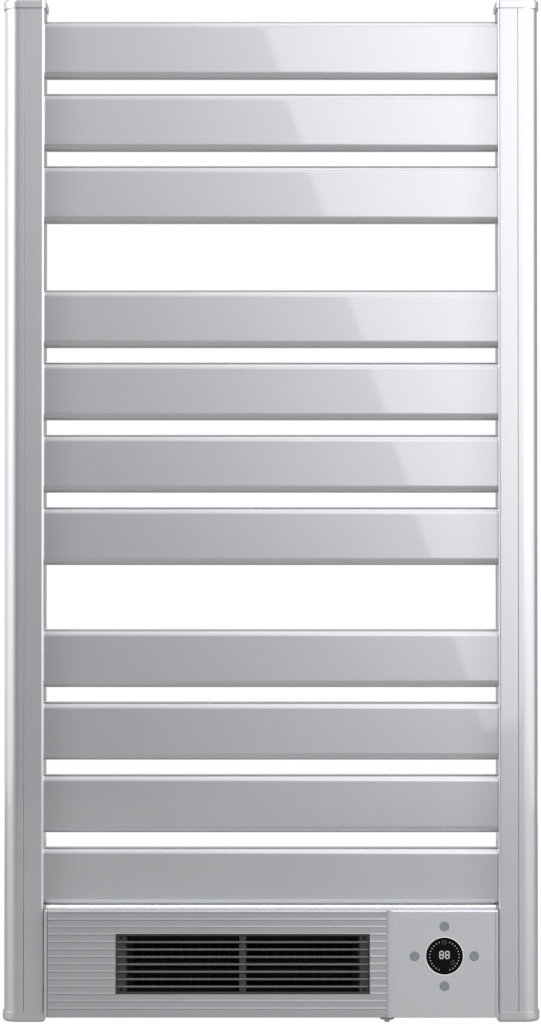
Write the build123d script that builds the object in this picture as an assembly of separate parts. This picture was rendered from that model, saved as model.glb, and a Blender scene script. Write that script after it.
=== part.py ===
from build123d import *
import os
from math import atan2, cos, degrees, radians, sin, sqrt

# A wall-hung heated towel rail with a fan heater between its feet. Lengths are in millimetres.
# +X is to the right as seen from the front, -Y to the front and +Z up.
# The origin is on the wall, in the middle of the four wall fixings.

# Frame
frame_width = 500.0  # over the two posts
wall_gap = 35.0  # wall to the backs of the posts
fixing_height = 479.0  # middle of the wall fixings above the bottom caps
fixing_spread = 660.0  # lower to upper fixing

# Posts, each a channel towards the slats and a cover snapped on outside
post_width = 37.4
post_depth = 40.0
post_wall = 1.8
front_radius = 12.5  # outer front edge
back_radius = 5.0  # outer back edge
inner_radius = 2.2  # the two edges beside the slats
front_seam = 18.5  # outer face of the post to the seam in its front
back_seam = 6.0  # the same at its back
seam_groove = 0.7  # depth of the V along the front seam
lip_length = 5.0  # lip of the cover behind the channel's flange
lip_root = 2.2  # width of the lip's root beyond the seam
lip_thickness = 1.2
lip_gap = 0.15

# Post caps
cap_height = 9.6
cap_overhang = 1.9
cap_edge_radius = 3.2
spigot_depth = 12.0
spigot_wall = 1.8
spigot_gap = 0.3
ledge_gap = 0.3  # bottom cap to the box that stands on its inner edge

# Slats, counted from the top
top_slat_count = 3
middle_slat_count = 4
bottom_slat_count = 4
upper_towel_gap = 62.3
lower_towel_gap = 59.9
slat_height = 54.6
slat_gap = 13.4
slat_thickness = 16.0
slat_edge_flat = 2.0  # left between the two rounded edges
slat_wall = 1.5
slat_setback = 4.0  # fronts of the posts to the fronts of the slats
slat_lift = 1.2  # box to the lowest slat
slat_margin = 20.3  # top slat's upper edge to the tops of the caps
port_spread = 17.0  # screw port from the middle of the slat
port_height = 7.0

# Heating rods and their wiring
rod_radius = 4.0
rod_gap = 0.4
rod_end_gap = 2.0
harness_radius = 2.5
harness_inset = 12.0  # inner face of the post to the harness
branch_radius = 1.5
slot_width = 5.0  # punched openings for the branches
slot_height = 7.0

# Fasteners
tapping_radius = 1.6
tapping_length = 14.0
tapping_head_radius = 3.2
tapping_head_height = 2.0
bolt_radius = 3.0
bolt_length = 16.0
bolt_head_radius = 5.6
bolt_head_height = 4.0
screw_clearance = 0.3  # around a shank that passes through a hole

# Wall fixings
cup_radius = 13.0
cup_depth = 15.0
cup_floor = 3.0
cup_edge = 1.0
standoff_radius = 9.0
standoff_gap = 0.1  # around the standoff in its cup
wall_hole_radius = 2.75
wall_hole_sink = 1.8  # depth of the countersink
screw_room_radius = 5.5  # hollow in the standoff over the wall screw's head
screw_room_depth = 6.0
grub_radius = 2.0
grub_height = 6.0  # from the wall to the grub screw

# Heater box
box_height = 100.0
box_lift = 7.0  # bottom cap's underside to the box
box_proud = 20.0  # the box stands out in front of the posts
box_gap = 0.4  # box to post on each side
box_end = 3.6  # thickness of the box's end caps
box_end_radius = 3.3
rim_depth = 8.0  # rim of the end cap inside the housing
rim_wall = 2.0
rim_gap = 0.3
housing_wall = 2.0
housing_lip = 5.0
panel_thickness = 3.2
box_screw_margin = 20.0  # box screws below its top and above its underside
box_screw_inset = 27.0  # fronts of the posts to the box screws
boss_radius = 4.5
boss_length = 10.0

# Ribbed front panel
rib_count = 13
rib_top = 10.8  # plain band above the first rib's step
rib_bottom = 7.4  # the same below the last
rib_step = 1.1
rib_nose = 0.4

# Control panel
control_width = 101.5
panel_seam = 0.2
groove_width = 1.6
groove_depth = 1.6
band_width = 3.3
band_depth = 0.5
edge_round = 0.8
dial_inset = 47.8  # right edge of the panel to the dial's centre
dial_drop = 43.0  # box top to the dial's centre
dial_radius = 17.2
bezel_width = 1.1
bezel_proud = 0.3
bezel_flange = 1.8
bezel_flange_thickness = 1.2
window_thickness = 1.5
window_recess = 0.3
button_space = 4.8  # bezel to the buttons around it
button_radius = 4.55
button_gap = 0.25
button_proud = 0.8
button_edge = 0.4
button_travel = 0.6
button_flange = 1.2
button_flange_thickness = 1.2
button_rest_gap = 0.1
stem_radius = 1.5
switch_side = 6.0
switch_body = 3.4
plunger_radius = 1.7
plunger_height = 0.9
board_width = 79.0
board_margin = 7.0  # below the box's top and above its underside
board_gap = 0.5  # boards to the end cap's rim
board_thickness = 1.6
board_setback = 8.2  # back of the panel to the board
post_inset = 4.5  # board's edge to its mounting posts
board_post_radius = 2.4

# Air outlet
outlet_left = 64.2  # left edge of the ribbed panel to the outlet
outlet_right = 15.5  # outlet to the right edge of the ribbed panel
outlet_top = 22.4  # box top to the outlet
outlet_bottom = 21.4  # outlet to the box's underside
grille_gap = 0.2
grille_recess = 1.5
grille_depth = 6.5
grille_side = 10.0
grille_rim = 2.0
bar_count = 7
bar_margin = 7.5  # outlet's edge to the middle of the first bar
bar_height = 2.3
bar_depth = 4.5
mullion_width = 6.4
mullion_setback = 1.2
grille_screw_inset = 5.4  # outlet's side to the screws
grille_screw_margin = 4.2  # outlet's top and bottom to the screws
grille_screw_radius = 1.3
grille_screw_head = 2.2
grille_screw_length = 9.0

# Fan
duct_wall = 1.6
duct_inset = 11.0  # outlet's side to the duct's side plate
duct_rise = 1.4  # outlet's top and bottom to the duct's roof and floor
duct_flange = 4.0
fan_radius = 22.0
fan_gap = 4.0  # heater block's frame to the fan
fan_lift = 0.5  # fan's axis above the middle of the outlet
fan_end_gap = 3.0
blade_count = 24
blade_depth = 5.0
blade_bow = 0.6
blade_thickness = 0.8
blade_sweep = 13.0  # degrees from the blade's root round to its tip
disc_thickness = 1.6
hub_radius = 6.0
hub_length = 9.0
scroll_start = 35.0  # degrees above the line to the back
scroll_start_gap = 3.5  # fan to the scroll's upper edge
tongue_angle = 140.0
tongue_gap = 2.2  # fan to the tongue's lower edge
casing_gap = 3.7  # back of the scroll to the housing
shaft_radius = 2.5
shaft_clearance = 0.05
pin_length = 17.0
bush_radius = 6.0
bush_length = 6.0
bush_flange = 2.0

# Fan motor
motor_radius = 19.0
motor_length = 32.0
motor_wall = 2.0
motor_boss_radius = 6.0
rotor_radius = 14.0
rotor_length = 20.0
tie_radius = 24.0  # motor screws from the axis
tie_ear = 4.0

# Heater block
heater_setback = 10.5  # box front to the block's frame
heater_depth = 14.0
heater_frame = 4.0
heater_frame_gap = 0.3
heater_rail = 3.0
fin_count = 24
fin_thickness = 0.7
cutout_radius = 7.0
cutout_height = 5.0

# Intake in the back of the housing
intake_inset = 12.0  # duct's side plate to the intake
intake_tall = 26.0
intake_drop = 7.0  # box top to the intake
intake_rim = 3.0
intake_bar = 2.4
intake_bar_count = 4
intake_rib_count = 5
intake_flange = 1.2

# Supply
supply_setback = 35.0  # box front to the middle of the power board
supply_width = 80.0
supply_depth = 40.0
supply_lift = 6.0
relay_size = (19.0, 15.5, 15.0)
choke_size = (26.0, 20.0, 22.0)
capacitor_radius = 6.0
capacitor_height = 20.0
terminal_size = (27.0, 11.0, 16.0)
terminal_count = 3
terminal_bore = 2.2
gland_side = 20.0  # right end of the housing to the gland's axis
gland_inset = 9.6  # back of the box to the gland
gland_bore = 4.25
gland_radius = 8.0
gland_flange = 2.5
gland_flange_height = 3.0
gland_length = 15.0
nut_height = 4.0

# Room sensor
sensor_setback = 15.0
collar_radius = 7.0
collar_height = 3.3
collar_neck = 4.0
collar_rise = 5.0
probe_radius = 2.8
probe_drop = 5.9
probe_rise = 12.0

# Places worked out from the sizes
foot = -fixing_height
outer_x = frame_width / 2
inner_x = outer_x - post_width
post_x = outer_x - post_width / 2
post_back = -wall_gap
post_front = post_back - post_depth
post_y = (post_front + post_back) / 2
slat_y = post_front + slat_setback + slat_thickness / 2
harness_x = inner_x + harness_inset
fixing_z = (-fixing_spread / 2, fixing_spread / 2)

box_low = foot + box_lift
box_high = box_low + box_height
box_front = post_front - box_proud
box_x = inner_x - box_gap
shell_x = box_x - box_end
panel_back = box_front + panel_thickness
box_screw_y = post_front + box_screw_inset
box_screw_z = (box_low + box_screw_margin, box_high - box_screw_margin)

split_x = shell_x - control_width
dial_x = shell_x - dial_inset
dial_z = box_high - dial_drop
rim_end = shell_x - rim_depth
board_front = panel_back + board_setback
board_height = box_height - 2 * board_margin
board_x = rim_end - board_gap - board_width / 2
board_z = (box_low + box_high) / 2

outlet_width = split_x + shell_x - outlet_left - outlet_right
outlet_tall = box_height - outlet_top - outlet_bottom
outlet_x = split_x - outlet_right - outlet_width / 2
outlet_z = box_low + outlet_bottom + outlet_tall / 2
grille_front = box_front + grille_recess
grille_back = grille_front + grille_depth
screw_side = outlet_width / 2 - grille_screw_inset
screw_rise = outlet_tall / 2 - grille_screw_margin
grille_screw_places = [
    (outlet_x + side * screw_side, outlet_z + row * screw_rise) for side in (-1, 1) for row in (-1, 1)
]

duct_left = outlet_x - outlet_width / 2 + duct_inset
duct_right = outlet_x + outlet_width / 2 - duct_inset
floor_z = outlet_z - outlet_tall / 2 - duct_rise
roof_z = outlet_z + outlet_tall / 2 + duct_rise
heater_front = box_front + heater_setback
heater_back = heater_front + heater_depth
fan_y = heater_back + fan_gap + fan_radius
fan_z = outlet_z + fan_lift
fan_left = duct_left + fan_end_gap
fan_right = duct_right - fan_end_gap
tie_z = (fan_z - tie_radius, fan_z + tie_radius)


def fan_point(angle, radius):
    return (fan_y + radius * cos(radians(angle)), fan_z + radius * sin(radians(angle)))


# The scroll is one arc, which leaves the duct's floor at a tangent under the fan's axis.
scroll_end = fan_point(scroll_start, fan_radius + scroll_start_gap)
scroll_rise = scroll_end[1] - floor_z
scroll_radius = ((scroll_end[0] - fan_y) ** 2 + scroll_rise**2) / (2 * scroll_rise)
scroll_centre = (fan_y, floor_z + scroll_radius)
scroll_sweep = 90 + degrees(atan2(scroll_end[1] - scroll_centre[1], scroll_end[0] - fan_y))
box_back = fan_y + scroll_radius + duct_wall + casing_gap + housing_wall

supply_x = rim_end - board_gap - supply_width / 2
supply_y = box_front + supply_setback
supply_top = box_low + housing_wall + supply_lift + board_thickness
gland_x = shell_x - gland_side
gland_y = box_back - gland_inset - gland_radius
sensor_x = split_x + panel_seam + groove_width / 2
sensor_y = box_front + sensor_setback


def block(x0, x1, y0, y1, z0, z1):
    return Pos((x0 + x1) / 2, (y0 + y1) / 2, (z0 + z1) / 2) * Box(x1 - x0, y1 - y0, z1 - z0)


def area(x0, x1, y0, y1):
    return Pos((x0 + x1) / 2, (y0 + y1) / 2) * Rectangle(x1 - x0, y1 - y0)


def along_x(section, x0, x1):
    # The section is drawn in Y and Z.
    return extrude(Plane.YZ.offset(x0) * section, amount=x1 - x0)


def from_front(section, front, back):
    # The section is drawn in X and Z, as seen from the front.
    return extrude(Plane.XZ.offset(-back) * section, amount=back - front)


def upright(section, z0, z1):
    return extrude(Plane.XY.offset(z0) * section, amount=z1 - z0)


def rod_x(radius, x0, x1, y, z):
    return along_x(Pos(y, z) * Circle(radius), x0, x1)


def rod_y(radius, front, back, x, z):
    return from_front(Pos(x, z) * Circle(radius), front, back)


def rod_z(radius, z0, z1, x, y):
    return upright(Pos(x, y) * Circle(radius), z0, z1)


def rounded(section, x, y, radius):
    corner = section.vertices().sort_by_distance((x, y, 0))[0]
    return fillet(corner, radius)


def group(pieces):
    return Compound([solid for piece in pieces for solid in piece.solids()])


def mirrored(piece):
    return mirror(piece, about=Plane.YZ)


def both_sides(piece):
    return [mirrored(piece), piece]


# Posts
def post_outline(grow=0.0):
    outline = area(inner_x, outer_x, post_front, post_back)
    outline = rounded(outline, outer_x, post_front, front_radius)
    outline = rounded(outline, outer_x, post_back, back_radius)
    outline = rounded(outline, inner_x, post_front, inner_radius)
    outline = rounded(outline, inner_x, post_back, inner_radius)
    return offset(outline, amount=grow) if grow else outline


def cover_lip(seam_x, wall_y, inward):
    under = wall_y + inward * (post_wall + lip_gap)
    far = under + inward * lip_thickness
    tongue = area(seam_x - lip_length, seam_x + lip_root, *sorted((under, far)))
    root = area(seam_x + lip_gap, seam_x + lip_root, *sorted((wall_y + inward * post_wall / 2, far)))
    return tongue + root


def post_sections():
    tube = post_outline() - post_outline(-post_wall)
    seam_front_x = outer_x - front_seam
    seam_back_x = outer_x - back_seam
    zone = area(inner_x, seam_front_x, post_front, post_y) + area(inner_x, seam_back_x, post_y, post_back)
    side = seam_groove * sqrt(2)
    vee = Pos(seam_front_x, post_front) * Rot(Z=45) * Rectangle(side, side)
    channel = (tube & zone) - vee
    cover = tube - zone - vee
    cover += cover_lip(seam_front_x, post_front, 1) + cover_lip(seam_back_x, post_back, -1)
    return channel, cover


def slat_heights():
    # Middle of each slat, from the box up, and the upper edge of the last.
    heights = []
    edge = box_high + slat_lift
    groups = [
        (bottom_slat_count, lower_towel_gap),
        (middle_slat_count, upper_towel_gap),
        (top_slat_count, slat_margin),
    ]
    for count, gap in groups:
        for _ in range(count):
            heights.append(edge + slat_height / 2)
            edge += slat_height + slat_gap
        edge += gap - slat_gap
    return heights[::-1], edge


slat_z, crown = slat_heights()
port_z = [z + side * port_spread for z in slat_z for side in (-1, 1)]


def post_channel(section, wired):
    post = upright(section, foot + cap_height, crown - cap_height)
    hole = tapping_radius + screw_clearance
    for z in port_z:
        post -= rod_x(hole, inner_x, inner_x + post_wall, slat_y, z)
    for z in box_screw_z:
        post -= rod_x(hole, inner_x, inner_x + post_wall, box_screw_y, z)
    for z in fixing_z:
        post -= rod_y(bolt_radius + screw_clearance, post_back - post_wall, post_back, post_x, z)
    if wired:
        for z in slat_z + [fan_z]:
            slot = Pos(slat_y, z) * Rectangle(slot_width, slot_height)
            post -= along_x(slot, inner_x, inner_x + post_wall)
    return post


def post_cap():
    cap = upright(post_outline(cap_overhang), crown - cap_height, crown)
    cap = fillet(cap.faces().sort_by(Axis.Z)[-1].edges(), cap_edge_radius)
    plug = -(post_wall + lip_gap + lip_thickness + spigot_gap)
    spigot = post_outline(plug) - post_outline(plug - spigot_wall)
    return cap + upright(spigot, crown - cap_height - spigot_depth, crown - cap_height)


# Slats
def slat_section():
    edge_radius = (slat_thickness - slat_edge_flat) / 2
    outline = RectangleRounded(slat_thickness, slat_height, edge_radius)
    bore = rod_radius + rod_gap
    section = outline - offset(outline, amount=-slat_wall)
    section += Rectangle(slat_thickness - slat_wall, 2 * (bore + slat_wall))
    for side in (-1, 1):
        section += Pos(0, side * port_spread) * Rectangle(slat_thickness - slat_wall, port_height)
        section -= Pos(0, side * port_spread) * Circle(tapping_radius)
    return section - Circle(bore)


def tapping_screw():
    # Along +X, with the underside of the head at the origin.
    shank = rod_x(tapping_radius, 0, tapping_length, 0, 0)
    head = along_x(RegularPolygon(tapping_head_radius, 6), -tapping_head_height, 0)
    return shank + head


def harness():
    trunk = rod_z(harness_radius, fan_z - harness_radius, slat_z[0] + harness_radius, harness_x, slat_y)
    for z in slat_z:
        trunk += rod_x(branch_radius, inner_x - rod_end_gap, harness_x, slat_y, z)
    return trunk + rod_x(branch_radius, rim_end, harness_x, slat_y, fan_z)


# Wall fixings, drawn on the wall at the origin
def wall_cup():
    cup = rod_y(cup_radius, -cup_depth, 0, 0, 0)
    cup = chamfer(cup.faces().sort_by(Axis.Y)[0].edges(), cup_edge)
    cup -= rod_y(standoff_radius + standoff_gap, -cup_depth, -cup_floor, 0, 0)
    cup -= rod_y(wall_hole_radius, -cup_floor, 0, 0, 0)
    sink = Cone(wall_hole_radius, wall_hole_radius + wall_hole_sink, wall_hole_sink)
    cup -= Pos(0, -cup_floor + wall_hole_sink / 2, 0) * Rot(X=90) * sink
    return cup - rod_z(grub_radius, -cup_radius, 0, 0, -grub_height)


def standoff():
    post = rod_y(standoff_radius, post_back, -cup_floor, 0, 0)
    post -= rod_y(screw_room_radius, -cup_floor - screw_room_depth, -cup_floor, 0, 0)
    return post - rod_y(bolt_radius, post_back, post_back + bolt_length, 0, 0)


def standoff_bolt():
    seat = post_back - post_wall
    shank = rod_y(bolt_radius, seat, seat + bolt_length, 0, 0)
    return shank + from_front(RegularPolygon(bolt_head_radius, 6), seat - bolt_head_height, seat)


def grub_screw():
    return rod_z(grub_radius, -cup_radius, -standoff_radius - standoff_gap, 0, -grub_height)


fixing_places = [Pos(x, 0, z) for x in (-post_x, post_x) for z in fixing_z]


# Heater box
intake_x = (duct_left + intake_inset, duct_right - intake_inset)
intake_z = (box_high - intake_drop - intake_tall, box_high - intake_drop)


def housing_hollow(gap=0.0):
    # The room inside the housing in Y and Z, drawn in by a gap.
    inset = housing_wall + gap
    return area(panel_back + inset, box_back - inset, box_low + inset, box_high - inset)


def heater_housing():
    section = area(panel_back, box_back, box_low, box_high) - housing_hollow()
    mouth = housing_wall + housing_lip
    section -= area(panel_back, panel_back + housing_wall, box_low + mouth, box_high - mouth)
    housing = along_x(section, -shell_x, shell_x)
    window = area(*intake_x, *intake_z)
    housing -= from_front(window, box_back - housing_wall, box_back)
    housing -= rod_z(collar_neck, box_low, box_low + housing_wall, sensor_x, sensor_y)
    return housing - rod_z(gland_radius, box_low, box_low + housing_wall, gland_x, gland_y)


def box_end_cap():
    cap = block(shell_x, box_x, box_front, box_back, box_low, box_high)
    cap = fillet(cap.faces().sort_by(Axis.X)[-1].edges(), box_end_radius)
    rim = housing_hollow(rim_gap) - housing_hollow(rim_gap + rim_wall)
    cap += along_x(rim, rim_end, shell_x)
    for z in box_screw_z:
        cap += rod_x(boss_radius, shell_x - boss_length, shell_x, box_screw_y, z)
        cap -= rod_x(tapping_radius, box_x - tapping_length, box_x, box_screw_y, z)
    slot = Pos(slat_y, fan_z) * Rectangle(slot_width, slot_height)
    return cap - along_x(slot, shell_x, box_x)


def front_panel():
    # Each rib leans out to a rounded nose, then steps back under it.
    outline = [(panel_back, box_low), (panel_back, box_high)]
    outline += [(box_front + edge_round, box_high), (box_front, box_high - edge_round)]
    rib_pitch = (box_height - rib_top - rib_bottom) / (rib_count - 1)
    for rib in range(rib_count):
        z = box_high - rib_top - rib * rib_pitch
        outline += [(box_front, z + rib_nose), (box_front + rib_nose, z), (box_front + rib_step, z)]
    outline += [(box_front, box_low + edge_round), (box_front + edge_round, box_low)]
    panel = along_x(make_face(Polyline(*outline, close=True)), -shell_x, split_x)
    hole = Pos(outlet_x, outlet_z) * Rectangle(outlet_width, outlet_tall)
    return panel - from_front(hole, box_front, panel_back)


button_ring = dial_radius + bezel_width + button_space + button_radius
button_places = {
    "top": (dial_x, dial_z + button_ring),
    "left": (dial_x - button_ring, dial_z),
    "right": (dial_x + button_ring, dial_z),
    "bottom": (dial_x, dial_z - button_ring),
}
board_posts = [
    (board_x + side * (board_width / 2 - post_inset), board_z + row * (board_height / 2 - post_inset))
    for side in (-1, 1)
    for row in (-1, 1)
]


def control_panel():
    left = split_x + panel_seam
    band = left + groove_width
    face = band + band_width
    outline = [(left, panel_back), (left, box_front + groove_depth), (band, box_front + groove_depth)]
    outline += [(band, box_front + band_depth), (face, box_front + band_depth), (face, box_front)]
    outline += [(shell_x, box_front), (shell_x, panel_back)]
    panel = upright(make_face(Polyline(*outline, close=True)), box_low, box_high)
    front_edges = panel.faces().sort_by(Axis.Y)[0].edges().filter_by(Axis.X)
    panel = chamfer(front_edges, edge_round)
    panel -= rod_y(dial_radius + bezel_width, box_front, panel_back, dial_x, dial_z)
    for x, z in button_places.values():
        panel -= rod_y(button_radius + button_gap, box_front, panel_back, x, z)
    for x, z in board_posts:
        panel += rod_y(board_post_radius, panel_back, board_front, x, z)
    return panel


def bezel():
    rim = dial_radius + bezel_width
    ring = rod_y(rim, box_front - bezel_proud, panel_back, dial_x, dial_z)
    ring = chamfer(ring.faces().sort_by(Axis.Y)[0].edges(), bezel_proud)
    ring += rod_y(rim + bezel_flange, panel_back, panel_back + bezel_flange_thickness, dial_x, dial_z)
    return ring - rod_y(dial_radius, box_front - bezel_proud, board_front, dial_x, dial_z)


window_front = box_front + window_recess
window_back = window_front + window_thickness
switch_top = board_front - switch_body - plunger_height


def button(x, z):
    cap = rod_y(button_radius, box_front - button_proud, panel_back, x, z)
    cap = chamfer(cap.faces().sort_by(Axis.Y)[0].edges(), button_edge)
    flange = panel_back + button_rest_gap
    cap += rod_y(button_radius, panel_back, flange, x, z)
    cap += rod_y(button_radius + button_flange, flange, flange + button_flange_thickness, x, z)
    return cap + rod_y(stem_radius, flange, switch_top - button_travel - button_rest_gap, x, z)


def tact_switch(x, z):
    seat = board_front - switch_body
    base = from_front(Pos(x, z) * Rectangle(switch_side, switch_side), seat, board_front)
    return base + rod_y(plunger_radius, switch_top, seat, x, z)


# Air outlet
def grille():
    middle = Pos(outlet_x, outlet_z)
    wide = outlet_width - 2 * grille_gap
    tall = outlet_tall - 2 * grille_gap
    frame = middle * (Rectangle(wide, tall) - Rectangle(wide - 2 * grille_side, tall - 2 * grille_rim))
    frame -= [Pos(x, z) * Circle(grille_screw_radius) for x, z in grille_screw_places]
    piece = from_front(frame, grille_front, grille_back)
    bar_pitch = (outlet_tall - 2 * bar_margin) / (bar_count - 1)
    bars = [
        middle * Pos(0, (row - (bar_count - 1) / 2) * bar_pitch) * Rectangle(wide - grille_side, bar_height)
        for row in range(bar_count)
    ]
    piece += from_front(Sketch() + bars, grille_front, grille_front + bar_depth)
    mullion = middle * Rectangle(mullion_width, tall - grille_rim)
    return piece + from_front(mullion, grille_front + mullion_setback, grille_back)


def grille_screw(x, z):
    head = rod_y(grille_screw_head, grille_front - grille_screw_radius / 2, grille_front, x, z)
    return head + rod_y(grille_screw_radius, grille_front, grille_front + grille_screw_length, x, z)


# Fan and its casing
def fan_casing():
    inner = CenterArc(scroll_centre, scroll_radius, -90, scroll_sweep)
    outer = CenterArc(scroll_centre, scroll_radius + duct_wall, -90, scroll_sweep)
    tongue_y, tongue_z = fan_point(tongue_angle, fan_radius + tongue_gap)
    walls = make_face([inner, outer, Line(inner @ 0, outer @ 0), Line(inner @ 1, outer @ 1)])
    walls += area(grille_back, fan_y, floor_z - duct_wall, floor_z)
    walls += area(grille_back, tongue_y, roof_z, roof_z + duct_wall)
    walls += area(tongue_y - duct_wall, tongue_y, tongue_z, roof_z + duct_wall)
    casing = along_x(walls, duct_left - duct_wall, duct_right + duct_wall)
    side = area(grille_back, fan_y, floor_z - duct_wall, roof_z + duct_wall)
    side += Pos(*scroll_centre) * Circle(scroll_radius + duct_wall)
    axis = Pos(fan_y, fan_z)
    casing += along_x(side - axis * Circle(motor_boss_radius), duct_left - duct_wall, duct_left)
    casing += along_x(side - axis * Circle(bush_radius), duct_right, duct_right + duct_wall)
    reach = duct_wall + duct_flange
    rim = area(duct_left - reach, duct_right + reach, floor_z - reach, roof_z + reach)
    rim -= area(duct_left, duct_right, floor_z, roof_z)
    casing += from_front(rim, grille_back, grille_back + duct_wall)
    for x, z in grille_screw_places:
        casing -= rod_y(grille_screw_radius, grille_back, grille_back + duct_wall, x, z)
    for z in tie_z:
        casing -= rod_x(grille_screw_radius, duct_left - duct_wall, duct_left, fan_y, z)
    return casing


def impeller():
    # Forward-curved blades between two end discs and a stiffening ring.
    root = fan_radius - blade_depth
    tip = fan_radius * cos(radians(blade_sweep))
    lean = fan_radius * sin(radians(blade_sweep))
    middle = ((root + tip) / 2, lean / 2)
    front = ThreePointArc((root, 0), (middle[0] + blade_bow, middle[1] - blade_bow), (tip, lean))
    back = Pos(-blade_thickness, 0) * front
    blade = make_face([front, back, Line(front @ 0, back @ 0), Line(front @ 1, back @ 1)])
    blades = Sketch() + [Rot(Z=360 * k / blade_count) * blade for k in range(blade_count)]
    wheel = along_x(Pos(fan_y, fan_z) * blades, fan_left, fan_right)
    middle = (fan_left + fan_right) / 2
    ring = Pos(fan_y, fan_z) * (Circle(fan_radius) - Circle(root - blade_thickness))
    wheel += along_x(ring, middle - disc_thickness / 2, middle + disc_thickness / 2)
    wheel += rod_x(fan_radius, fan_left, fan_left + disc_thickness, fan_y, fan_z)
    wheel += rod_x(fan_radius, fan_right - disc_thickness, fan_right, fan_y, fan_z)
    wheel += rod_x(hub_radius, fan_left, fan_left + hub_length, fan_y, fan_z)
    wheel += rod_x(hub_radius, fan_right - hub_length, fan_right, fan_y, fan_z)
    wheel -= rod_x(shaft_radius, fan_left, fan_left + hub_length, fan_y, fan_z)
    return wheel - rod_x(shaft_radius, fan_right - hub_length, fan_right, fan_y, fan_z)


def fan_pin():
    return rod_x(shaft_radius, fan_right - hub_length, fan_right - hub_length + pin_length, fan_y, fan_z)


def fan_bush():
    bush = rod_x(bush_radius, duct_right, duct_right + bush_length, fan_y, fan_z)
    flange = duct_right + duct_wall
    bush += rod_x(bush_radius + bush_flange, flange, flange + duct_wall, fan_y, fan_z)
    bore = shaft_radius + shaft_clearance
    return bush - rod_x(bore, duct_right, duct_right + bush_length, fan_y, fan_z)


motor_right = duct_left - duct_wall
motor_left = motor_right - motor_length
motor_middle = (motor_left + motor_right) / 2


def motor_body():
    can = rod_x(motor_radius, motor_left, motor_right, fan_y, fan_z)
    for z in tie_z:
        ear = Pos(fan_y, z) * Circle(tie_ear) + area(fan_y - tie_ear, fan_y + tie_ear, *sorted((fan_z, z)))
        ear -= Pos(fan_y, z) * Circle(grille_screw_radius)
        can += along_x(ear, motor_right - motor_wall, motor_right)
    can += rod_x(motor_boss_radius, motor_right, motor_right + duct_wall, fan_y, fan_z)
    hollow = motor_radius - motor_wall
    can -= rod_x(hollow, motor_left + motor_wall, motor_right - motor_wall, fan_y, fan_z)
    bore = shaft_radius + shaft_clearance
    return can - rod_x(bore, motor_left + motor_wall, motor_right + duct_wall, fan_y, fan_z)


def motor_rotor():
    start = motor_middle - rotor_length / 2
    rotor = rod_x(rotor_radius, start, start + rotor_length, fan_y, fan_z)
    return rotor + rod_x(shaft_radius, motor_left + 2 * motor_wall, fan_left + hub_length, fan_y, fan_z)


def motor_screw(z):
    seat = motor_right - motor_wall
    head = rod_x(grille_screw_head, seat - grille_screw_radius, seat, fan_y, z)
    return head + rod_x(grille_screw_radius, seat, duct_left, fan_y, z)


# Heater block in the duct
heater_half_x = (duct_right - duct_left) / 2 - heater_frame_gap
heater_half_z = (roof_z - floor_z) / 2 - heater_frame_gap
core_half_x = heater_half_x - heater_frame
core_half_z = heater_half_z - heater_frame


def heater_block_frame():
    frame = Rectangle(2 * heater_half_x, 2 * heater_half_z) - Rectangle(2 * core_half_x, 2 * core_half_z)
    return from_front(Pos(outlet_x, outlet_z) * frame, heater_front, heater_back)


def heater_block():
    rails = [
        Pos(0, row * (core_half_z - heater_rail / 2)) * Rectangle(2 * core_half_x, heater_rail)
        for row in (-1, 0, 1)
    ]
    pitch = (2 * core_half_x - fin_thickness) / (fin_count - 1)
    fins = [
        Pos((k - (fin_count - 1) / 2) * pitch, 0) * Rectangle(fin_thickness, 2 * core_half_z)
        for k in range(fin_count)
    ]
    core = Pos(outlet_x, outlet_z) * (Sketch() + rails + fins)
    return from_front(core, heater_front + duct_wall, heater_back - duct_wall)


def thermal_cutout():
    seat = roof_z + duct_wall
    middle = (heater_front + heater_back) / 2
    disc = rod_z(cutout_radius, seat, seat + cutout_height, outlet_x, middle)
    tab = Pos(outlet_x, middle) * Rectangle(4 * cutout_radius, cutout_radius)
    return disc + upright(tab, seat, seat + duct_wall)


# Intake grille in the back of the housing
def intake_grille():
    width = intake_x[1] - intake_x[0]
    middle = Pos(sum(intake_x) / 2, sum(intake_z) / 2)
    hole = Rectangle(width - 2 * intake_rim, intake_tall - 2 * intake_rim)
    pitch = (intake_tall - 2 * intake_rim) / (intake_bar_count + 1)
    bars = [
        Pos(0, (row - (intake_bar_count - 1) / 2) * pitch) * Rectangle(width, intake_bar)
        for row in range(intake_bar_count)
    ]
    step = width / (intake_rib_count + 1)
    ribs = [
        Pos((k - (intake_rib_count - 1) / 2) * step, 0) * Rectangle(intake_bar, intake_tall)
        for k in range(intake_rib_count)
    ]
    frame = (Rectangle(width, intake_tall) - hole) + bars + ribs
    inside = box_back - housing_wall
    flange = Rectangle(width + 2 * intake_rim, intake_tall + 2 * intake_rim) - hole
    piece = from_front(middle * frame, inside, box_back)
    return piece + from_front(middle * flange, inside - intake_flange, inside)


# Supply and control electronics
def power_board():
    floor = box_low + housing_wall
    low = supply_top - board_thickness
    plate = Pos(supply_x, supply_y) * Rectangle(supply_width, supply_depth)
    board = upright(plate, low, supply_top)
    for side in (-1, 1):
        for row in (-1, 1):
            x = supply_x + side * (supply_width / 2 - post_inset)
            y = supply_y + row * (supply_depth / 2 - post_inset)
            board += rod_z(board_post_radius, floor, low, x, y)
    left = supply_x - supply_width / 2 + post_inset
    back = supply_y + supply_depth / 2 - post_inset
    wide, deep, tall = choke_size
    board += block(left, left + wide, back - deep, back, supply_top, supply_top + tall)
    wide, deep, tall = relay_size
    board += block(supply_x, supply_x + wide, back - deep, back, supply_top, supply_top + tall)
    front = supply_y - supply_depth / 2 + post_inset + capacitor_radius
    middle = left + capacitor_radius
    return board + rod_z(capacitor_radius, supply_top, supply_top + capacitor_height, middle, front)


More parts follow.
